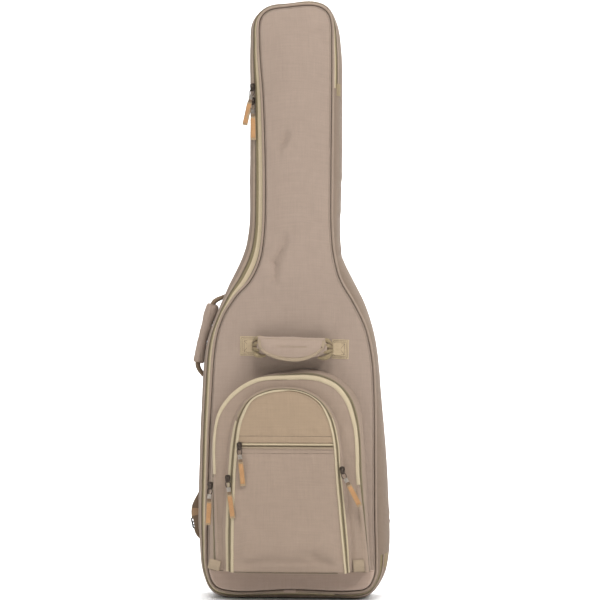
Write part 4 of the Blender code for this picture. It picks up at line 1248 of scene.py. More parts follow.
def fold_tab(name, centre, size, lean, body, stands_for, tip=0.0035):
    """A folded tab of webbing that stands up out of a seam."""
    w, h = size
    turn = math.radians(lean)
    sections = []
    steps = 10
    for step in range(steps + 1):
        t = step / steps
        v = -h / 2 + h * t
        lift = -0.0936 - 0.0022 * math.sin(math.pi * min(t * 1.15, 1.0)) - tip * 0.3 * t
        thick = 0.0013 + 0.0006 * math.sin(math.pi * t)
        if t > 0.93:
            thick *= 0.55
        section = []
        for u, d in ((-0.5, 0.0), (-0.47, -1.0), (-0.2, -1.0), (0.0, -1.05), (0.2, -1.0), (0.47, -1.0),
                     (0.5, 0.0), (0.47, 1.0), (0.0, 1.0), (-0.47, 1.0)):
            x = centre[0] + u * w * math.cos(turn) - v * math.sin(turn)
            z = centre[1] + u * w * math.sin(turn) + v * math.cos(turn)
            section.append(Vector((x, lift + d * thick, z)))
        sections.append(section)
    return loft(name, sections, "trim", body, replaces=[stands_for])


def build_tabs():
    """Loop tabs at the pocket's lower corners, tabs over the zip's ends, the welt's joint."""
    fold_tab("loop_left", (-0.1480, 0.0765), (0.0240, 0.0200), -14.0, "large_pocket_flap", "loop_tab_left")
    fold_tab("loop_right", (0.1395, 0.0775), (0.0220, 0.0240), 4.0, "large_pocket_flap", "loop_tab_right")
    ends = (("head", 1.020, 1.030, (30.0, 62.0)), ("base", 0.072, 0.080, (46.0, 68.0)))
    for name, low, high, angles in ends:
        near = [i for i in ring.all if ring.seam[i].x > 0.07 and low - 0.012 < ring.seam[i].y < high + 0.012]
        edge_strip("zip_end_tab_" + name, ring, sorted(near), angles, "gather", "bag_shell", 0.0016, 0.0018)
    joint = [p for p in ring_line(0.0031, -0.0514, fine_ring) if abs(p.x + 0.001) < 0.0125 and p.z < 0.1]
    tube("welt_joint", joint, 0.0033, "base", "front_cover", sides=12)


def build_stitching():
    """Rows of stitches beside the seams, bindings and zips, and dark lines of painted shade under the
    pockets.
    """
    seam_inner = grow(fine_ring.seam, fine_ring.seam_out, -0.0035)
    free = [p for p in seam_inner if p.y > 0.072]
    split = max(range(len(free) - 1), key=lambda k: (free[k + 1] - free[k]).length)
    line = free[split + 1:] + free[:split + 1]
    row = stitches("cover_stitches", [lay(front_tree, resample(line, 0.006), 0.0001)], "thread", None,
                   length=0.0030, gap=0.0018, radius=0.0003)
    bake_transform(row)
    base_tree = surface_of(base_cloth)
    # dark cords along the foot of each pocket: painted shade in the gap above the base band
    for name, low, high, y, body in (("large", -0.1480, 0.1560, -0.0900, "large_pocket_flap"),
                                     ("small", -0.1060, 0.0990, -0.1134, "small_pocket_flap")):
        line = [Vector((low + (high - low) * k / 40, y, 0.0648)) for k in range(41)]
        tube("pocket_foot_shade_" + name, line, 0.0010, "coil", body, sides=8)
    edge = run_between([(-0.1620, 0.0606), (0.1660, 0.0606)])
    stitches("base_stitches", [lay(base_tree, edge, 0.0001)], "thread", "front_cover", length=0.0030,
             gap=0.0018, radius=0.00035)
    for name, rows, y, body, width in (("large", LARGE_POCKET, -0.0938, "large_pocket_flap", 0.0064),
                                       ("small", SMALL_POCKET, -0.1170, "small_pocket_flap", 0.0044)):
        run = resample(arch(rows, 1.0, -width), 0.006)
        ahead = Vector((0.0, -1.0, 0.0))
        stitches(name + "_binding_stitches", [[(Vector((p.x, y, p.y)), ahead) for p in run]], "thread_light",
                 body, length=0.0028, gap=0.0018, radius=0.00035)
    rows = [lay(small_tree, run_between([(-0.0995 if z > 0.32 else -0.1000, z), (0.0900, z)]), 0.0001)
            for z in (0.3010, 0.3078, 0.3225, 0.3350)]
    stitches("flat_pocket_stitches", rows, "thread", "small_pocket_flap", length=0.0028, gap=0.0016,
             radius=0.00036)


build_patches()
build_tabs()
build_stitching()


# ---- handles -------------------------------------------------------------------------------
def soft_bar(name, centres, radii, look, body, sides=20, wrap=0.0, **more):
    """A padded bar along centres; radii is a list of (out of the bag, along it, other side)."""
    sections = []
    last = len(centres) - 1
    for i, here in enumerate(centres):
        along = (centres[min(i + 1, last)] - centres[max(i - 1, 0)]).normalized()
        side = Vector((0.0, 1.0, 0.0))
        side = (side - along * side.dot(along)).normalized()
        up = along.cross(side).normalized()
        section = []
        for k in range(sides):
            turn = math.tau * k / sides
            reach = radii[i][2] if len(radii[i]) > 2 and math.sin(turn) > 0 else radii[i][1]
            place = here + side * (radii[i][0] * math.cos(turn)) + up * (reach * math.sin(turn))
            ripple = noise.noise(place * 60.0) * 0.0012 + wrap * math.sin(turn * 2 + i * 0.6)
            section.append(place + (place - here).normalized() * ripple)
        sections.append(section)
    return loft(name, sections, look, body, **more)


HANDLE_LEFT, HANDLE_RIGHT = -0.0640, 0.0760


def flap_drop(t):
    """How far the handle's flap hangs at a share of its width: a flat-bottomed bow."""
    power = 0.30 + 0.20 * float(ease(np.array((t - 0.45) / 0.2)))
    return 0.0060 + 0.0410 * max(math.sin(math.pi * t ** 1.08), 0.0) ** power


def build_front_handle():
    """Gathered webbing, the padded grip, and the flap with its bound edge."""
    centres = []
    radii = []
    for step in range(25):
        t = step / 24
        x = HANDLE_LEFT + (HANDLE_RIGHT - HANDLE_LEFT) * t
        z = 0.5098 - 0.0297 * (x - 0.008)
        swell = 0.40 + 0.60 * math.sin(math.pi * t) ** 0.45
        gather = 1.0 + 0.06 * math.cos(step * 2.1) * (1.0 if t < 0.14 or t > 0.86 else 0.2)
        centres.append(Vector((x, -0.0838 + 0.0010 * math.cos(math.tau * t), z)))
        radii.append((0.0100 * swell * gather, 0.0212 * swell * gather))
    pad = soft_bar("handle_pad", centres, radii, "grip", "front_handle", replaces=["front_handle_pad"])
    route = [(-0.0860, -0.0607, 0.5112), (-0.0720, -0.0622, 0.5106), (-0.0620, -0.0672, 0.5102),
             (-0.0480, -0.0705, 0.5098), (0.0080, -0.0715, 0.5088), (0.0640, -0.0705, 0.5072),
             (0.0770, -0.0672, 0.5066), (0.0870, -0.0622, 0.5062), (0.1030, -0.0607, 0.5055)]
    ribbon("handle_webbing", route, lambda t: 0.030 * (0.86 - 0.34 * math.exp(-((t - 0.14) / 0.05) ** 2)
                                                      - 0.34 * math.exp(-((t - 0.86) / 0.05) ** 2)),
           0.0024, "webbing", "front_handle", 0.004, replaces=["front_handle_webbing"])
    for side, x, way in (("left", HANDLE_LEFT, -1.0), ("right", HANDLE_RIGHT, 1.0)):
        z = 0.5098 - 0.0297 * (x - 0.008)
        for n, (lift, spread, fat) in enumerate(((0.0125, 0.0150, 0.0046), (0.0035, 0.0050, 0.0046),
                                                  (-0.0055, -0.0065, 0.0044), (-0.0135, -0.0170, 0.0050))):
            tuck = [Vector((x + way * 0.0100, -0.0672, z + lift * 0.45)),
                    Vector((x + way * 0.0060, -0.0715, z + lift * 0.75)),
                    Vector((x + way * 0.0010, -0.0790 - 0.002 * n, z + spread)),
                    Vector((x - way * 0.0080, -0.0840, z + spread * 1.15)),
                    Vector((x - way * 0.0180, -0.0850, z + spread * 1.1))]
            points = resample(smooth_path(tuck, 0.002)[0], 0.0022)
            tube("handle_gather_%s_%d" % (side, n), points,
                 lambda t, fat=fat: fat * (0.55 + 0.45 * math.sin(math.pi * min(t * 1.1, 1.0))), "gather",
                 "front_handle", sides=10, squeeze=1.0)
        # dark cords between the gathers: painted shade in the folds of the webbing
        for n, (lift, spread) in enumerate(((0.0080, 0.0100), (-0.0010, -0.0008), (-0.0095, -0.0118))):
            crease = [Vector((x + way * 0.0110, -0.0655, z + lift * 0.4)),
                      Vector((x + way * 0.0055, -0.0765, z + (lift + spread) * 0.5)),
                      Vector((x + way * 0.0012, -0.0835, z + spread))]
            tube("handle_crease_shade_%s_%d" % (side, n), resample(smooth_path(crease, 0.002)[0], 0.0022),
                 lambda t: 0.0009 + 0.0009 * math.sin(math.pi * t), "strap", "front_handle", sides=8,
                 squeeze=1.0)
    build_handle_flap()


def flap_point(t, s):
    """A place on the flap: t runs along the handle, s from its top edge to its bound edge."""
    x = HANDLE_LEFT + 0.0030 + (HANDLE_RIGHT - HANDLE_LEFT - 0.0060) * t
    top = 0.5300 - 0.0280 * (x - 0.008)
    drop = flap_drop(t)
    z = top - drop * s
    bow = math.sin(min(s * 1.15, 1.0) * math.pi)
    y = -0.0955 - 0.0052 * bow * math.sin(math.pi * min(max(t, 0.03), 0.97)) ** 0.4 + 0.0020 * (1.0 - s)
    y += noise.noise(Vector((x, 0.0, z)) * 45.0) * 0.0008
    return Vector((x, y, z))


def build_handle_flap():
    """The padded flap over the grip, its binding and its stitches."""
    columns, rows = 40, 12
    verts = []
    for layer in (0.0, 0.0024):
        for c in range(columns + 1):
            for r in range(rows + 1):
                rim = min(c, columns - c, r * 2, (rows - r) * 2)
                thin = 0.5 if rim == 0 else 1.0
                place = flap_point(c / columns, r / rows)
                push = layer if layer == 0.0 else layer * thin
                swell = 0.0 if layer else -0.0012 * min(rim, 3) / 3
                verts.append(place + Vector((0.0, push + swell, 0.0)))
    flap = make("handle_flap_cloth", verts, two_layers(columns, rows), "grip", "handle_flap",
                ["front_handle_flap"])
    bound = []
    for step in range(73):
        t = step / 72
        edge = flap_point(t, 1.0)
        inner = flap_point(t, 0.965)
        down = (edge - inner).normalized()
        if t < 0.04 or t > 0.96:
            down = Vector((-1.0 if t < 0.5 else 1.0, 0.0, -0.4)).normalized()
        wide = 0.0056
        bound.append([edge - down * wide + Vector((0, -0.0022, 0)),
                      edge - down * wide * 0.3 + Vector((0, -0.0030, 0)),
                      edge + down * 0.0010 + Vector((0, -0.0012, 0)),
                      edge + down * 0.0012 + Vector((0, 0.0020, 0)),
                      edge - down * wide * 0.3 + Vector((0, 0.0036, 0)),
                      edge - down * wide + Vector((0, 0.0030, 0))])
    loft("handle_flap_binding", bound, "trim", "handle_flap")
    tree = surface_of(flap)
    curve = [(flap_point(t / 60, 0.86).x, flap_point(t / 60, 0.86).z) for t in range(3, 58)]
    straight = run_between([(-0.0230, 0.5110), (0.0370, 0.5095)])
    second = run_between([(-0.0230, 0.5132), (0.0370, 0.5117)])
    top = run_between([(HANDLE_LEFT + 0.012, 0.5278), (HANDLE_RIGHT - 0.012, 0.5242)])
    stitches("handle_flap_stitches", [lay(tree, curve, 0.0001), lay(tree, straight, 0.0001),
                                      lay(tree, second, 0.0001), lay(tree, top, 0.0001)],
             "trim", "handle_flap", length=0.0022, gap=0.0022, radius=0.00040)


def build_side_handle():
    """The wrapped grip on the left side, its gathered webbing ends and the stubs they leave from."""
    top = Vector((-0.1654, 0.0, 0.5965))
    low = Vector((-0.1938, 0.0, 0.4765))
    along = (low - top).normalized()
    centres = []
    radii = []
    for step in range(33):
        t = step / 32
        centres.append(top.lerp(low, t))
        swell = 0.90 + 0.10 * math.sin(math.pi * t) ** 0.4
        end = 1.0 - 0.22 * math.exp(-min(t, 1.0 - t) / 0.012)
        wall = min((p for p in ring.wide if p.x < 0.0), key=lambda p: abs(p.y - centres[-1].z)).x
        room = min(max(wall - 0.0022 - centres[-1].x, 0.0085), 0.0170)
        radii.append((0.0132 * swell * end, 0.0106 * swell * end, room * end))
    grip = soft_bar("side_grip", centres, radii, "shell", "side_handle", sides=28,
                    replaces=["side_handle_grip"])
    overlap = []
    for step in range(31):
        t = 0.012 + 0.976 * step / 30
        centre = top.lerp(low, t)
        lean = 0.50 + 0.10 * math.sin(t * 5.0)
        over = []
        for k in range(9):
            turn = lean - 1.30 + 1.30 * k / 8
            over.append(centre + Vector((-math.sin(turn) * 0.0106, -math.cos(turn) * 0.0138, 0.0)))
        under = [p + (centre - p).normalized() * 0.0016 for p in over[::-1]]
        overlap.append(over + under)
    loft("side_grip_overlap", overlap, "shell", "side_handle")
    across = Vector((0.0, 1.0, 0.0))
    ends = (("upper", [top + along * 0.006 + Vector((0.003, 0.0, 0.0)),
                       top - along * 0.004 + Vector((0.005, 0.0, 0.0)),
                       Vector((-0.1510, 0.0, 0.6060)), Vector((-0.1400, 0.0, 0.6105))],
             Vector((-0.1280, 0.0, 0.6150))),
            ("lower", [low - along * 0.006, low + along * 0.006 + Vector((0.002, 0.0, 0.0)),
                       Vector((-0.1895, 0.0, 0.4610)), Vector((-0.1825, 0.0, 0.4520))],
             Vector((-0.1730, 0.0, 0.4455))))
    folds = ((-0.0062, 0.0046, 1.0), (0.0, 0.0056, 0.86), (0.0062, 0.0046, 1.0))
    for name, route, root in ends:
        for n, (shift, fat, reach) in enumerate(folds):
            moved = [p + across * shift * (1.0 - 0.55 * k / 3) + Vector((0.0, 0.0, 0.0012 * (n - 1) * k / 3))
                     for k, p in enumerate(route)]
            stands_for = ["side_handle_webbing_" + name] if n == 0 else []
            tube("side_handle_%s_fold_%d" % (name, n), smooth_path(moved, 0.003)[0],
                 lambda t, fat=fat, reach=reach: fat * (1.0 - 0.25 * t * reach), "strap", "side_handle",
                 squeeze=1.25, replaces=stands_for)
        near = route[-1]
        stub = resample([near.lerp(root, -0.18), near.lerp(root, 0.5), root], 0.003)
        tube("side_handle_root_" + name, stub, 0.0046, "strap", "bag_shell", squeeze=1.6)


build_front_handle()
build_side_handle()


# ---- inside: neck cradle, its strap and the pad under the end pin ---------------------------
def chamfered(centre, size, turn=0.0, bevel=0.001):
    """Vertices and faces of a block with cut edges, turned about the line it is seen along."""
    half = [s / 2 for s in size]
    turned = Matrix.Rotation(turn, 3, "Y")
    verts = []
    index = {}
    for axis in range(3):
        for a in (-1, 1):
            for b in (-1, 1):
                for c in (-1, 1):
                    signs = (a, b, c)
                    local = [signs[k] * (half[k] - (0.0 if k == axis else bevel)) for k in range(3)]
                    index[(axis, signs)] = len(verts)
                    verts.append(Vector(centre) + turned @ Vector(local))
    faces = []

    def add(keys, outward_way):
        ring_keys = [index[k] for k in keys]
        a, b, c = (verts[k] for k in ring_keys[:3])
        if (b - a).cross(c - b).dot(turned @ Vector(outward_way)) < 0:
            ring_keys.reverse()
        faces.append(tuple(ring_keys))

    for axis in range(3):
        u, v = [k for k in range(3) if k != axis]
        for sign in (-1, 1):
            keys = []
            for su, sv in ((-1, -1), (1, -1), (1, 1), (-1, 1)):
                signs = [0, 0, 0]
                signs[axis], signs[u], signs[v] = sign, su, sv
                keys.append((axis, tuple(signs)))
            way = [0.0, 0.0, 0.0]
            way[axis] = sign
            add(keys, way)
        for su in (-1, 1):
            for sv in (-1, 1):
                keys = []
                for face_axis, ends in ((u, (-1, 1)), (v, (1, -1))):
                    for end in ends:
                        signs = [0, 0, 0]
                        signs[axis], signs[u], signs[v] = end, su, sv
                        keys.append((face_axis, tuple(signs)))
                way = [0.0, 0.0, 0.0]
                way[u], way[v] = su, sv
                add(keys, way)
    for a in (-1, 1):
        for b in (-1, 1):
            for c in (-1, 1):
                add([(0, (a, b, c)), (1, (a, b, c)), (2, (a, b, c))], (a, b, c))
    return verts, faces


def blocks(name, parts, look, body, replaces=(), sharp=math.radians(30.0), **more):
    """One piece made of several blocks."""
    verts = []
    faces = []
    for part in parts:
        made_verts, made_faces = chamfered(*part)
        faces += [tuple(len(verts) + k for k in f) for f in made_faces]
        verts += made_verts
    return make(name, verts, faces, look, body, replaces, sharp=sharp, **more)


def build_inside():
    """Foam that carries the neck and the end pin, and the strap over the neck."""
    middle, half, notch, low, high = 0.009, 0.059, 0.026, 0.935, 1.000
    steps = 16
    sections = []
    for k in range(steps + 1):
        t = k / steps
        z = low + (high - low) * t
        round_off = 0.0030 * (1.0 - rounded(min(t, 1.0 - t) * (high - low) / 0.004))
        give = 0.0006 * math.sin(t * 9.0)
        section = []
        for step in range(17):
            turn = math.pi * step / 16
            reach = notch + round_off + give
            section.append(Vector((middle + reach * math.cos(turn), 0.006 + reach * 0.8 * math.sin(turn), z)))
        edge = half - round_off
        section += [Vector((middle - notch - 0.004, 0.0050 + round_off, z)),
                    Vector((middle - edge + 0.004, 0.0058 + round_off, z)), Vector((middle - edge, 0.010, z)),
                    Vector((middle - edge, 0.031, z)), Vector((middle - edge + 0.004, 0.0350 - round_off, z)),
                    Vector((middle + edge - 0.004, 0.0350 - round_off, z)), Vector((middle + edge, 0.031, z)),
                    Vector((middle + edge, 0.010, z)), Vector((middle + edge - 0.004, 0.0058 + round_off, z)),
                    Vector((middle + notch + 0.004, 0.0050 + round_off, z))]
        sections.append(section)
    cradle = loft("neck_cradle_foam", sections, "lining", "bag_shell", replaces=["neck_cradle"])
    height = (low + high) / 2
    profile = ((-half - 0.004, 0.020), (-half - 0.002, 0.0035), (0.0, -0.004), (half + 0.002, 0.0035),
               (half + 0.004, 0.020))
    ribbon("neck_strap_webbing", [(middle + x, y, height) for x, y in profile], 0.025, 0.0022, "strap",
           "bag_shell", 0.004, replaces=["neck_strap"], sheet=(0.025, 0.150, "laid"))
    blocks("neck_strap_closure", [((middle + 0.030, -0.0045, height), (0.040, 0.0016, 0.0255), 0.0, 0.0006)],
           "lining", "bag_shell")
    pad_verts, pad_faces = chamfered((0.0, 0.004, 0.0215), (0.180, 0.052, 0.024), 0.0, 0.0045)
    pad = make("end_pin_foam", pad_verts, pad_faces, "foam", "bag_shell", ["end_pin_pad"])


# ---- shoulder straps -----------------------------------------------------------------------
def pad_section(place, along, width, thick, bulge):
    """A cushion's cross-section: flatter towards its bound edges."""
    side = Vector((1.0, 0.0, 0.0))
    side = (side - along * side.dot(along)).normalized()
    up = along.cross(side).normalized()
    section = []
    for k in range(24):
        turn = math.tau * k / 24
        c, s = math.cos(turn), math.sin(turn)
        flat = abs(c) ** 0.8 * (1 if c > 0 else -1)
        rise = thick / 2 * s * (1.0 - 0.30 * abs(c)) * bulge
        section.append(place + side * (width / 2 * flat) + up * rise)
    return section, side, up


def build_strap(side_name, side, edge):
    """One padded shoulder strap with its binding, webbing, buckle and anchor."""
    middle = 0.009
    body = "shoulder_strap_" + side_name
    route = [(middle + side * 0.038, 0.0600, 0.767), (middle + side * 0.054, 0.0740, 0.690),
             (middle + side * 0.095, 0.0830, 0.560), (middle + side * 0.128, 0.0790, 0.420),
             (middle + side * 0.146, 0.0700, 0.320)]
    points = resample(smooth_path([Vector(p) for p in route], 0.005)[0], 0.0065)
    last = len(points) - 1
    sections = []
    rims = ([], [])
    rows = ([], [])
    for i, here in enumerate(points):
        t = i / last
        along = (points[min(i + 1, last)] - points[max(i - 1, 0)]).normalized()
        width = 0.066 * min(1.0, 0.42 + 2.6 * t) * (1.0 - 0.45 * ease((t - 0.93) / 0.07) ** 2)
        thick = 0.0130 * min(1.0, 0.6 + 4.0 * t, 0.5 + 7.0 * (1.0 - t))
        channel = 1.0 - 0.10 * math.exp(-((t % 0.11) - 0.055) ** 2 / 0.00008)
        section, across, up = pad_section(here, along, width, thick, channel)
        sections.append(section)
        for n, way in enumerate((-1.0, 1.0)):
            rims[n].append(here + across * (way * (width / 2 - 0.0006)))
            rows[n].append((here + across * (way * (width / 2 - 0.0062)) + up * (thick * 0.40), up))
    pad = loft("strap_pad_" + side_name, sections, "shell", body, replaces=["shoulder_pad_" + side_name])
    for n, rim in enumerate(rims):
        tube("strap_pad_edge_%s_%d" % (side_name, n), rim, 0.0026, "piping", body, squeeze=1.3)
    tree = surface_of(pad)
    laid = []
    for row in rows:
        run = []
        for place, up in row:
            for way in (up, -up):
                hit, normal, _, _ = tree.ray_cast(place + way * 0.02, -way)
                if hit is not None and (way.y > 0) == (up.y > 0):
                    run.append((hit + normal * 0.0001, normal))
        laid.append(run)
    stitches("strap_pad_stitches_" + side_name, laid, "thread", body, length=0.0030, gap=0.0018,
             radius=0.0004)
    over = [here + Vector((0.0, 0.0075, 0.0)) for here in points[int(last * 0.42):]]
    ribbon("strap_pad_webbing_" + side_name, over, 0.025, 0.0018, "strap", body, 0.006, (1.0, 0.0, 0.0),
           smooth=False, sheet=(0.025, 0.285, "laid"))
    webbing = [(middle + side * 0.1465, 0.0720, 0.322), (middle + side * 0.150, 0.0700, 0.304),
               (edge - side * 0.016, 0.0640, 0.250), (edge - side * 0.004, 0.0570, 0.208),
               (edge + side * 0.013, 0.0535, 0.172), (edge + side * 0.0125, 0.0535, 0.150)]
    ribbon("strap_tail_" + side_name, webbing, 0.025, 0.0018, "strap", body, 0.005, (1.0, 0.0, 0.0),
           replaces=["strap_webbing_" + side_name], sheet=(0.025, 0.190, "hung"))
    inner = [(edge + side * 0.0126, 0.0520, 0.172), (edge + side * 0.0128, 0.0518, 0.164),
             (edge + side * 0.0128, 0.0518, 0.155)]
    ribbon("strap_tail_inner_" + side_name, inner, 0.0235, 0.0008, "strap_inner", body, 0.004,
           (1.0, 0.0, 0.0), sheet=(0.0235, 0.0172, "hung"))
    turn = math.radians(side * 12.0)
    tip = Matrix.Rotation(turn, 3, "Y")
    centre = Vector((edge + side * 0.009, 0.0540, 0.1435))
    bars = []
    for x in (-0.0150, 0.0150):
        bars.append((centre + tip @ Vector((x, 0.0, 0.0)), (0.0030, 0.0050, 0.0220), turn, 0.0010))
    for z, deep in ((0.0098, 0.0036), (0.0022, 0.0044), (-0.0040, 0.0036), (-0.0098, 0.0048)):
        bars.append((centre + tip @ Vector((0.0, 0.0, z)), (0.0290, deep, 0.0030), turn, 0.0009))
    blocks("ladder_lock_frame_" + side_name, bars, "plastic", "bag_shell", ["ladder_lock_" + side_name])
    through = [(edge + side * 0.0125, 0.0512, 0.158), (edge + side * 0.0105, 0.0512, 0.150),
               (edge + side * 0.0085, 0.0512, 0.1405), (edge + side * 0.0075, 0.0516, 0.1300)]
    ribbon("strap_through_" + side_name, through, 0.0225, 0.0012, "strap", "bag_shell", 0.004,
           (1.0, 0.0, 0.0), sheet=(0.0225, 0.0285, "folded"))
    stub = [(edge + side * 0.0085, 0.0540, 0.1330), (edge + side * 0.006, 0.0540, 0.1245),
            (edge - side * 0.001, 0.0525, 0.1170), (edge - side * 0.014, 0.0490, 0.1110),
            (edge - side * 0.024, 0.0440, 0.1085)]
    ribbon("strap_root_" + side_name, stub, 0.025, 0.0034, "strap", "bag_shell", 0.004, (1.0, 0.0, 0.0),
           replaces=["strap_anchor_" + side_name], sheet=(0.025, 0.040, "folded"))


def build_straps():
    """Both shoulder straps and the sewn patch they hang from."""
    corners = ((-0.060, 0.770), (-0.045, 0.840), (0.065, 0.840), (0.080, 0.770))
    outline = [Vector(corner) for corner in corners]
    yoke = pillow("strap_yoke_cloth", outline, lambda x, z, d: np.full_like(d, 0.0478),
                  lambda x, z, d: 0.0488 + 0.0032 * rounded(d / 0.006), "base", "bag_shell", 0.006,
                  (0.0012, 0.0030), replaces=["strap_yoke"], fill=0.4)
    tree = surface_of(yoke)
    box = [(-0.0540, 0.7745), (-0.0405, 0.8355), (0.0605, 0.8355), (0.0740, 0.7745), (-0.0540, 0.7745)]
    cross = [(-0.0500, 0.8000), (0.0700, 0.8000)]
    stitches("strap_yoke_stitches", [lay(tree, run_between(line), 0.0001, True) for line in (box, cross)],
             "thread", "bag_shell", length=0.0032, gap=0.0018, radius=0.00045)
    build_strap("left", -1.0, -0.188)
    build_strap("right", 1.0, 0.172)


# ---- zip sliders and pulls -----------------------------------------------------------------
def slab(outline, near, far, bevel, move):
    """A bevelled plate between two depths from a clockwise outline of x, z points."""
    points = [Vector(p) for p in outline]
    normals = outward(points, closed=True)
    inner = [p - n * bevel for p, n in zip(points, normals)]
    way = 1.0 if far > near else -1.0
    layers = ((inner, near), (points, near + way * bevel), (points, far - way * bevel), (inner, far))
    count = len(points)
    verts = [move(p.x, y, p.y) for layer, y in layers for p in layer]
    faces = [tuple(range(count)), tuple(range(4 * count - 1, 3 * count - 1, -1))]
    for level in range(3):
        for k in range(count):
            n = (k + 1) % count
            faces.append((level * count + k, (level + 1) * count + k, (level + 1) * count + n,
                          level * count + n))
    return verts, faces


def joined(name, pieces, look, body, replaces=(), sharp=math.radians(32.0)):
    """One piece from several lists of vertices and faces."""
    verts = []
    faces = []
    for more_verts, more_faces in pieces:
        faces += [tuple(len(verts) + k for k in f) for f in more_faces]
        verts += more_verts
    return make(name, verts, faces, look, body, replaces, sharp=sharp)


def oval(width, height, centre=(0.0, 0.0), count=24, power=1.0):
    """A clockwise oval of x, z points; a power below one makes it squarer."""
    made = []
    for k in range(count):
        turn = -math.tau * k / count
        c, s = math.cos(turn), math.sin(turn)
        made.append(Vector((centre[0] + width / 2 * math.copysign(abs(c) ** power, c),
                            centre[1] + height / 2 * math.copysign(abs(s) ** power, s))))
    return made


def ring_mesh(points, radius, sides=10):
    """Vertices and faces of a closed round wire."""
    verts = []
    count = len(points)
    for i, here in enumerate(points):
        along = (points[(i + 1) % count] - points[i - 1]).normalized()
        side = along.cross(Vector((0.0, 1.0, 0.0))).normalized()
        up = side.cross(along)
        verts += [here + side * (radius * math.cos(math.tau * k / sides))
                  + up * (radius * math.sin(math.tau * k / sides)) for k in range(sides)]
    faces = []
    for i in range(count):
        j = (i + 1) % count
        for k in range(sides):
            n = (k + 1) % sides
            faces.append((i * sides + k, i * sides + n, j * sides + n, j * sides + k))
    return verts, faces


def build_zip(name, place, lean=0.0, turn=0.0, along=0.0):
    """A slider with its bridge; a ring, crimp and leather-faced tab that hang from it."""
    turned = Matrix.Rotation(turn or along, 3, "Y")
    at = lambda x, y, z: place + turned @ Vector((x, y, z))
    right_half = [(0.0020, 0.0082), (0.0049, 0.0066), (0.0054, 0.0028), (0.0046, -0.0044), (0.0036, -0.0074)]
    left_half = [(-x, z) for x, z in reversed(right_half)]
    plate_outline = left_half[-1:] + right_half + left_half[:-1]
    top = slab(plate_outline, 0.0012, -0.0012, 0.0004, at)
    dome = slab(oval(0.0090, 0.0110, (0.0, 0.0004), 20, 0.9), -0.0010, -0.0030, 0.0009, at)
    arch_points = []
    for step in range(9):
        bend = math.pi * step / 8
        arch_points.append(at(0.0, -0.0018 - 0.0026 * math.sin(bend), 0.0045 * math.cos(bend) - 0.0004))
    bridge_sections = []
    for i, here in enumerate(arch_points):
        ahead = arch_points[min(i + 1, 8)] - arch_points[max(i - 1, 0)]
        across = turned @ Vector((1.0, 0.0, 0.0))
        up = across.cross(ahead.normalized())
        bridge_sections.append([here + across * a * 0.0017 + up * b * 0.0006
                                for a, b in ((-1, -0.7), (-0.7, -1), (0.7, -1), (1, -0.7), (1, 0.7), (0.7, 1),
                                             (-0.7, 1), (-1, 0.7))])
    bridge_verts = [p for section in bridge_sections for p in section]
    bridge_faces = []
    for i in range(8):
        for k in range(8):
            n = (k + 1) % 8
            bridge_faces.append((i * 8 + k, i * 8 + n, i * 8 + 8 + n, i * 8 + 8 + k))
    bridge_faces += [tuple(range(7, -1, -1)), tuple(range(64, 72))]
    joined(name + "_slider_metal", [top, dome, (bridge_verts, bridge_faces)], "gunmetal", name + "_slider",
           [name + "_slider"])

    body = name + "_pull"
    hook = place + Vector((0.0, -0.0042, -0.0040))
    tip = Matrix.Rotation(math.radians(lean), 3, "Y")
    hang = lambda x, y, z: hook + tip @ Vector((x, y, z))
    wire = [hang(0.0046 * math.cos(math.tau * k / 28), 0.0, 0.0074 * math.sin(math.tau * k / 28) - 0.0068)
            for k in range(28)]
    joined(name + "_ring_wire", [ring_mesh(wire, 0.00085)], "gunmetal", body, [name + "_pull_ring"])
    crimp = [(-0.0036, -0.0124), (0.0036, -0.0124), (0.0040, -0.0130), (0.0040, -0.0208), (0.0036, -0.0214),
             (-0.0036, -0.0214), (-0.0040, -0.0208), (-0.0040, -0.0130)]
    crimp_parts = [slab(crimp, 0.0017, -0.0017, 0.0005, hang)]
    for z, w, h in ((-0.0152, 0.0048, 0.0010), (-0.0188, 0.0048, 0.0010), (-0.0170, 0.0012, 0.0036)):
        mark = [(-w / 2, z + h / 2), (w / 2, z + h / 2), (w / 2, z - h / 2), (-w / 2, z - h / 2)]
        crimp_parts.append(slab(mark, -0.0015, -0.0021, 0.00015, hang))
    joined(name + "_crimp", crimp_parts, "silver", body)
    link = [(-0.0030, -0.0205), (0.0030, -0.0205), (0.0037, -0.0235), (0.0037, -0.0275), (-0.0037, -0.0275),
            (-0.0037, -0.0235)]
    joined(name + "_link", [slab(link, 0.0013, -0.0013, 0.0004, hang)], "strap", body)

    def tab(half, high, low, near, far, bevel):
        points = []
        steps = 6
        for k in range(steps + 1):
            points.append((half * (0.86 + 0.14 * min(k, 1)), high - (high - low) * k / steps))
        edge_points = ([(-half * 0.80, high + 0.0006), (half * 0.80, high + 0.0006)] + points
                       + [(half * 0.86, low - 0.0010), (-half * 0.86, low - 0.0010)]
                       + [(-x, z) for x, z in points[::-1]])
        bow = lambda x, y, z: hang(x, y - 0.0016 * ((z + 0.050) / 0.024) ** 2 + 0.0010, z)
        return slab(edge_points, near, far, bevel, bow)

    joined(name + "_tab_base", [tab(0.0054, -0.0268, -0.0732, 0.0011, -0.0006, 0.0004)], "leather_edge", body,
           [name + "_pull_tab"])
    joined(name + "_tab_leather", [tab(0.0044, -0.0310, -0.0690, -0.0004, -0.0018, 0.0005)], "leather", body)


def left_zip_point(height, angle, lift):
    """The point of the left zip line at a height."""
    best = min((i for i in fine_ring.zip if fine_ring.seam[i].x < 0.0),
               key=lambda i: abs(fine_ring.edge(i, angle, lift)[0].z - height))
    return fine_ring.edge(best, angle, lift)[0]


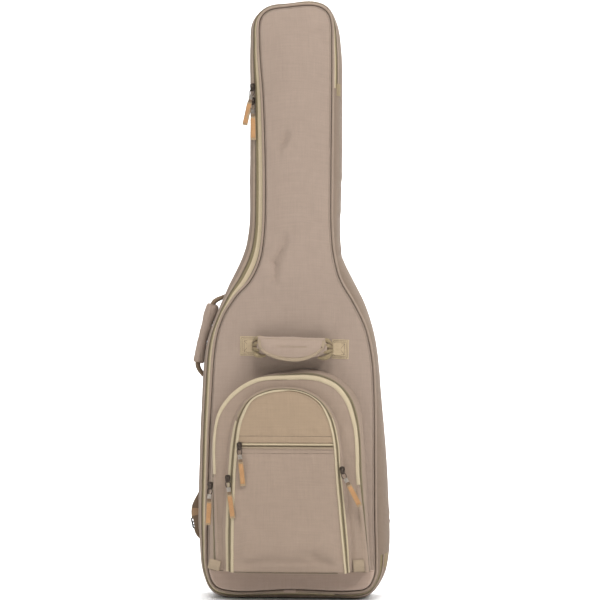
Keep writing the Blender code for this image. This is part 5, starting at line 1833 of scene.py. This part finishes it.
def build_zips():
    """Six sliders where the CAD has them."""
    high = left_zip_point(1.10, 36.0, 0.0042)
    low = left_zip_point(0.80, 36.0, 0.0042)
    turn = math.atan2(high.x - low.x, high.z - low.z)
    for name, z, lean in (("main_zip_upper", 1.033, 12.0), ("main_zip_lower", 1.005, -1.0)):
        build_zip(name, low.lerp(high, (z - low.z) / (high.z - low.z)), lean, turn)
    build_zip("large_pocket", Vector((-0.1577, -0.0850, 0.233)), 3.0)
    build_zip("small_pocket_left", Vector((-0.1190, -0.1150, 0.250)), -8.0)
    build_zip("small_pocket_right", Vector((0.1080, -0.1150, 0.268)), -28.0, along=math.radians(-7.0))
    build_zip("flat_pocket", Vector((-0.0955, -0.1197, 0.3150)), -6.0)


build_inside()
build_straps()
build_zips()


# ---- stage and light -----------------------------------------------------------------------
def plain(name, colour, roughness=0.9):
    """A stage material with a trace of unevenness."""
    made, tree, shader = new_material(name, roughness)
    coords = node(tree, "ShaderNodeTexCoord")
    drift = node(tree, "ShaderNodeTexNoise", {"Vector": coords.outputs["Object"], "Scale": 1.5})
    level = calc(tree, "MULTIPLY_ADD", drift.outputs["Fac"], 0.01, colour)
    grey = node(tree, "ShaderNodeCombineColor", {0: level, 1: level, 2: level})
    tree.links.new(grey.outputs[0], shader.inputs["Base Color"])
    return made


def build_stage():
    """A pale floor that curves up into a pale wall."""
    profile = [(-9.0, 0.0), (2.2, 0.0)]
    for step in range(1, 13):
        turn = math.pi / 2 * step / 12
        profile.append((2.2 + 1.6 * math.sin(turn), 1.6 * (1.0 - math.cos(turn))))
    profile.append((3.8, 9.0))
    verts = []
    for y, z in profile:
        verts += [(-12.0, y, z - 0.0002), (12.0, y, z - 0.0002)]
    faces = [(2 * i, 2 * i + 1, 2 * i + 3, 2 * i + 2) for i in range(len(profile) - 1)]
    mesh = bpy.data.meshes.new("stage_floor")
    mesh.from_pydata(verts, [], faces)
    mesh.polygons.foreach_set("use_smooth", [True] * len(faces))
    mesh.materials.append(plain("stage_paper", 0.86))
    floor = bpy.data.objects.new("stage_floor", mesh)
    bpy.context.scene.collection.objects.link(floor)


def add_light(name, place, target, size, power, colour=(1.0, 1.0, 1.0)):
    """A soft rectangular light aimed at a point."""
    data = bpy.data.lights.new(name, "AREA")
    data.shape = "RECTANGLE"
    data.size, data.size_y = size
    data.energy = power
    data.color = colour
    light = bpy.data.objects.new(name, data)
    light.location = place
    light.rotation_euler = (Vector(target) - Vector(place)).to_track_quat("-Z", "Y").to_euler()
    bpy.context.scene.collection.objects.link(light)


def light_scene():
    """An even white world, a key from front right, a weaker fill from front left, a light from
    above the front, and one light each for the wall and the floor behind."""
    world = bpy.data.worlds.new("studio")
    world.use_nodes = True
    background = world.node_tree.nodes["Background"]
    background.inputs["Color"].default_value = (1.0, 1.0, 1.0, 1.0)
    background.inputs["Strength"].default_value = 0.38
    bpy.context.scene.world = world
    middle = (0.0, 0.0, 0.6)
    add_light("key", (2.1, -2.1, 2.5), middle, (0.8, 0.8), 54.0)
    add_light("fill", (-2.4, -2.3, 1.9), middle, (0.8, 1.2), 18.0)
    add_light("top", (0.2, -2.1, 2.9), middle, (1.0, 1.0), 46.0)
    add_light("wall", (0.0, 1.0, 4.2), (0.0, 3.8, 1.2), (6.0, 1.5), 260.0)
    add_light("floor", (0.0, 1.5, 3.0), (0.0, 1.6, 0.0), (5.0, 1.6), 60.0)
    bpy.context.scene.view_settings.view_transform = "Standard"


build_stage()
light_scene()

bpy.context.view_layer.update()
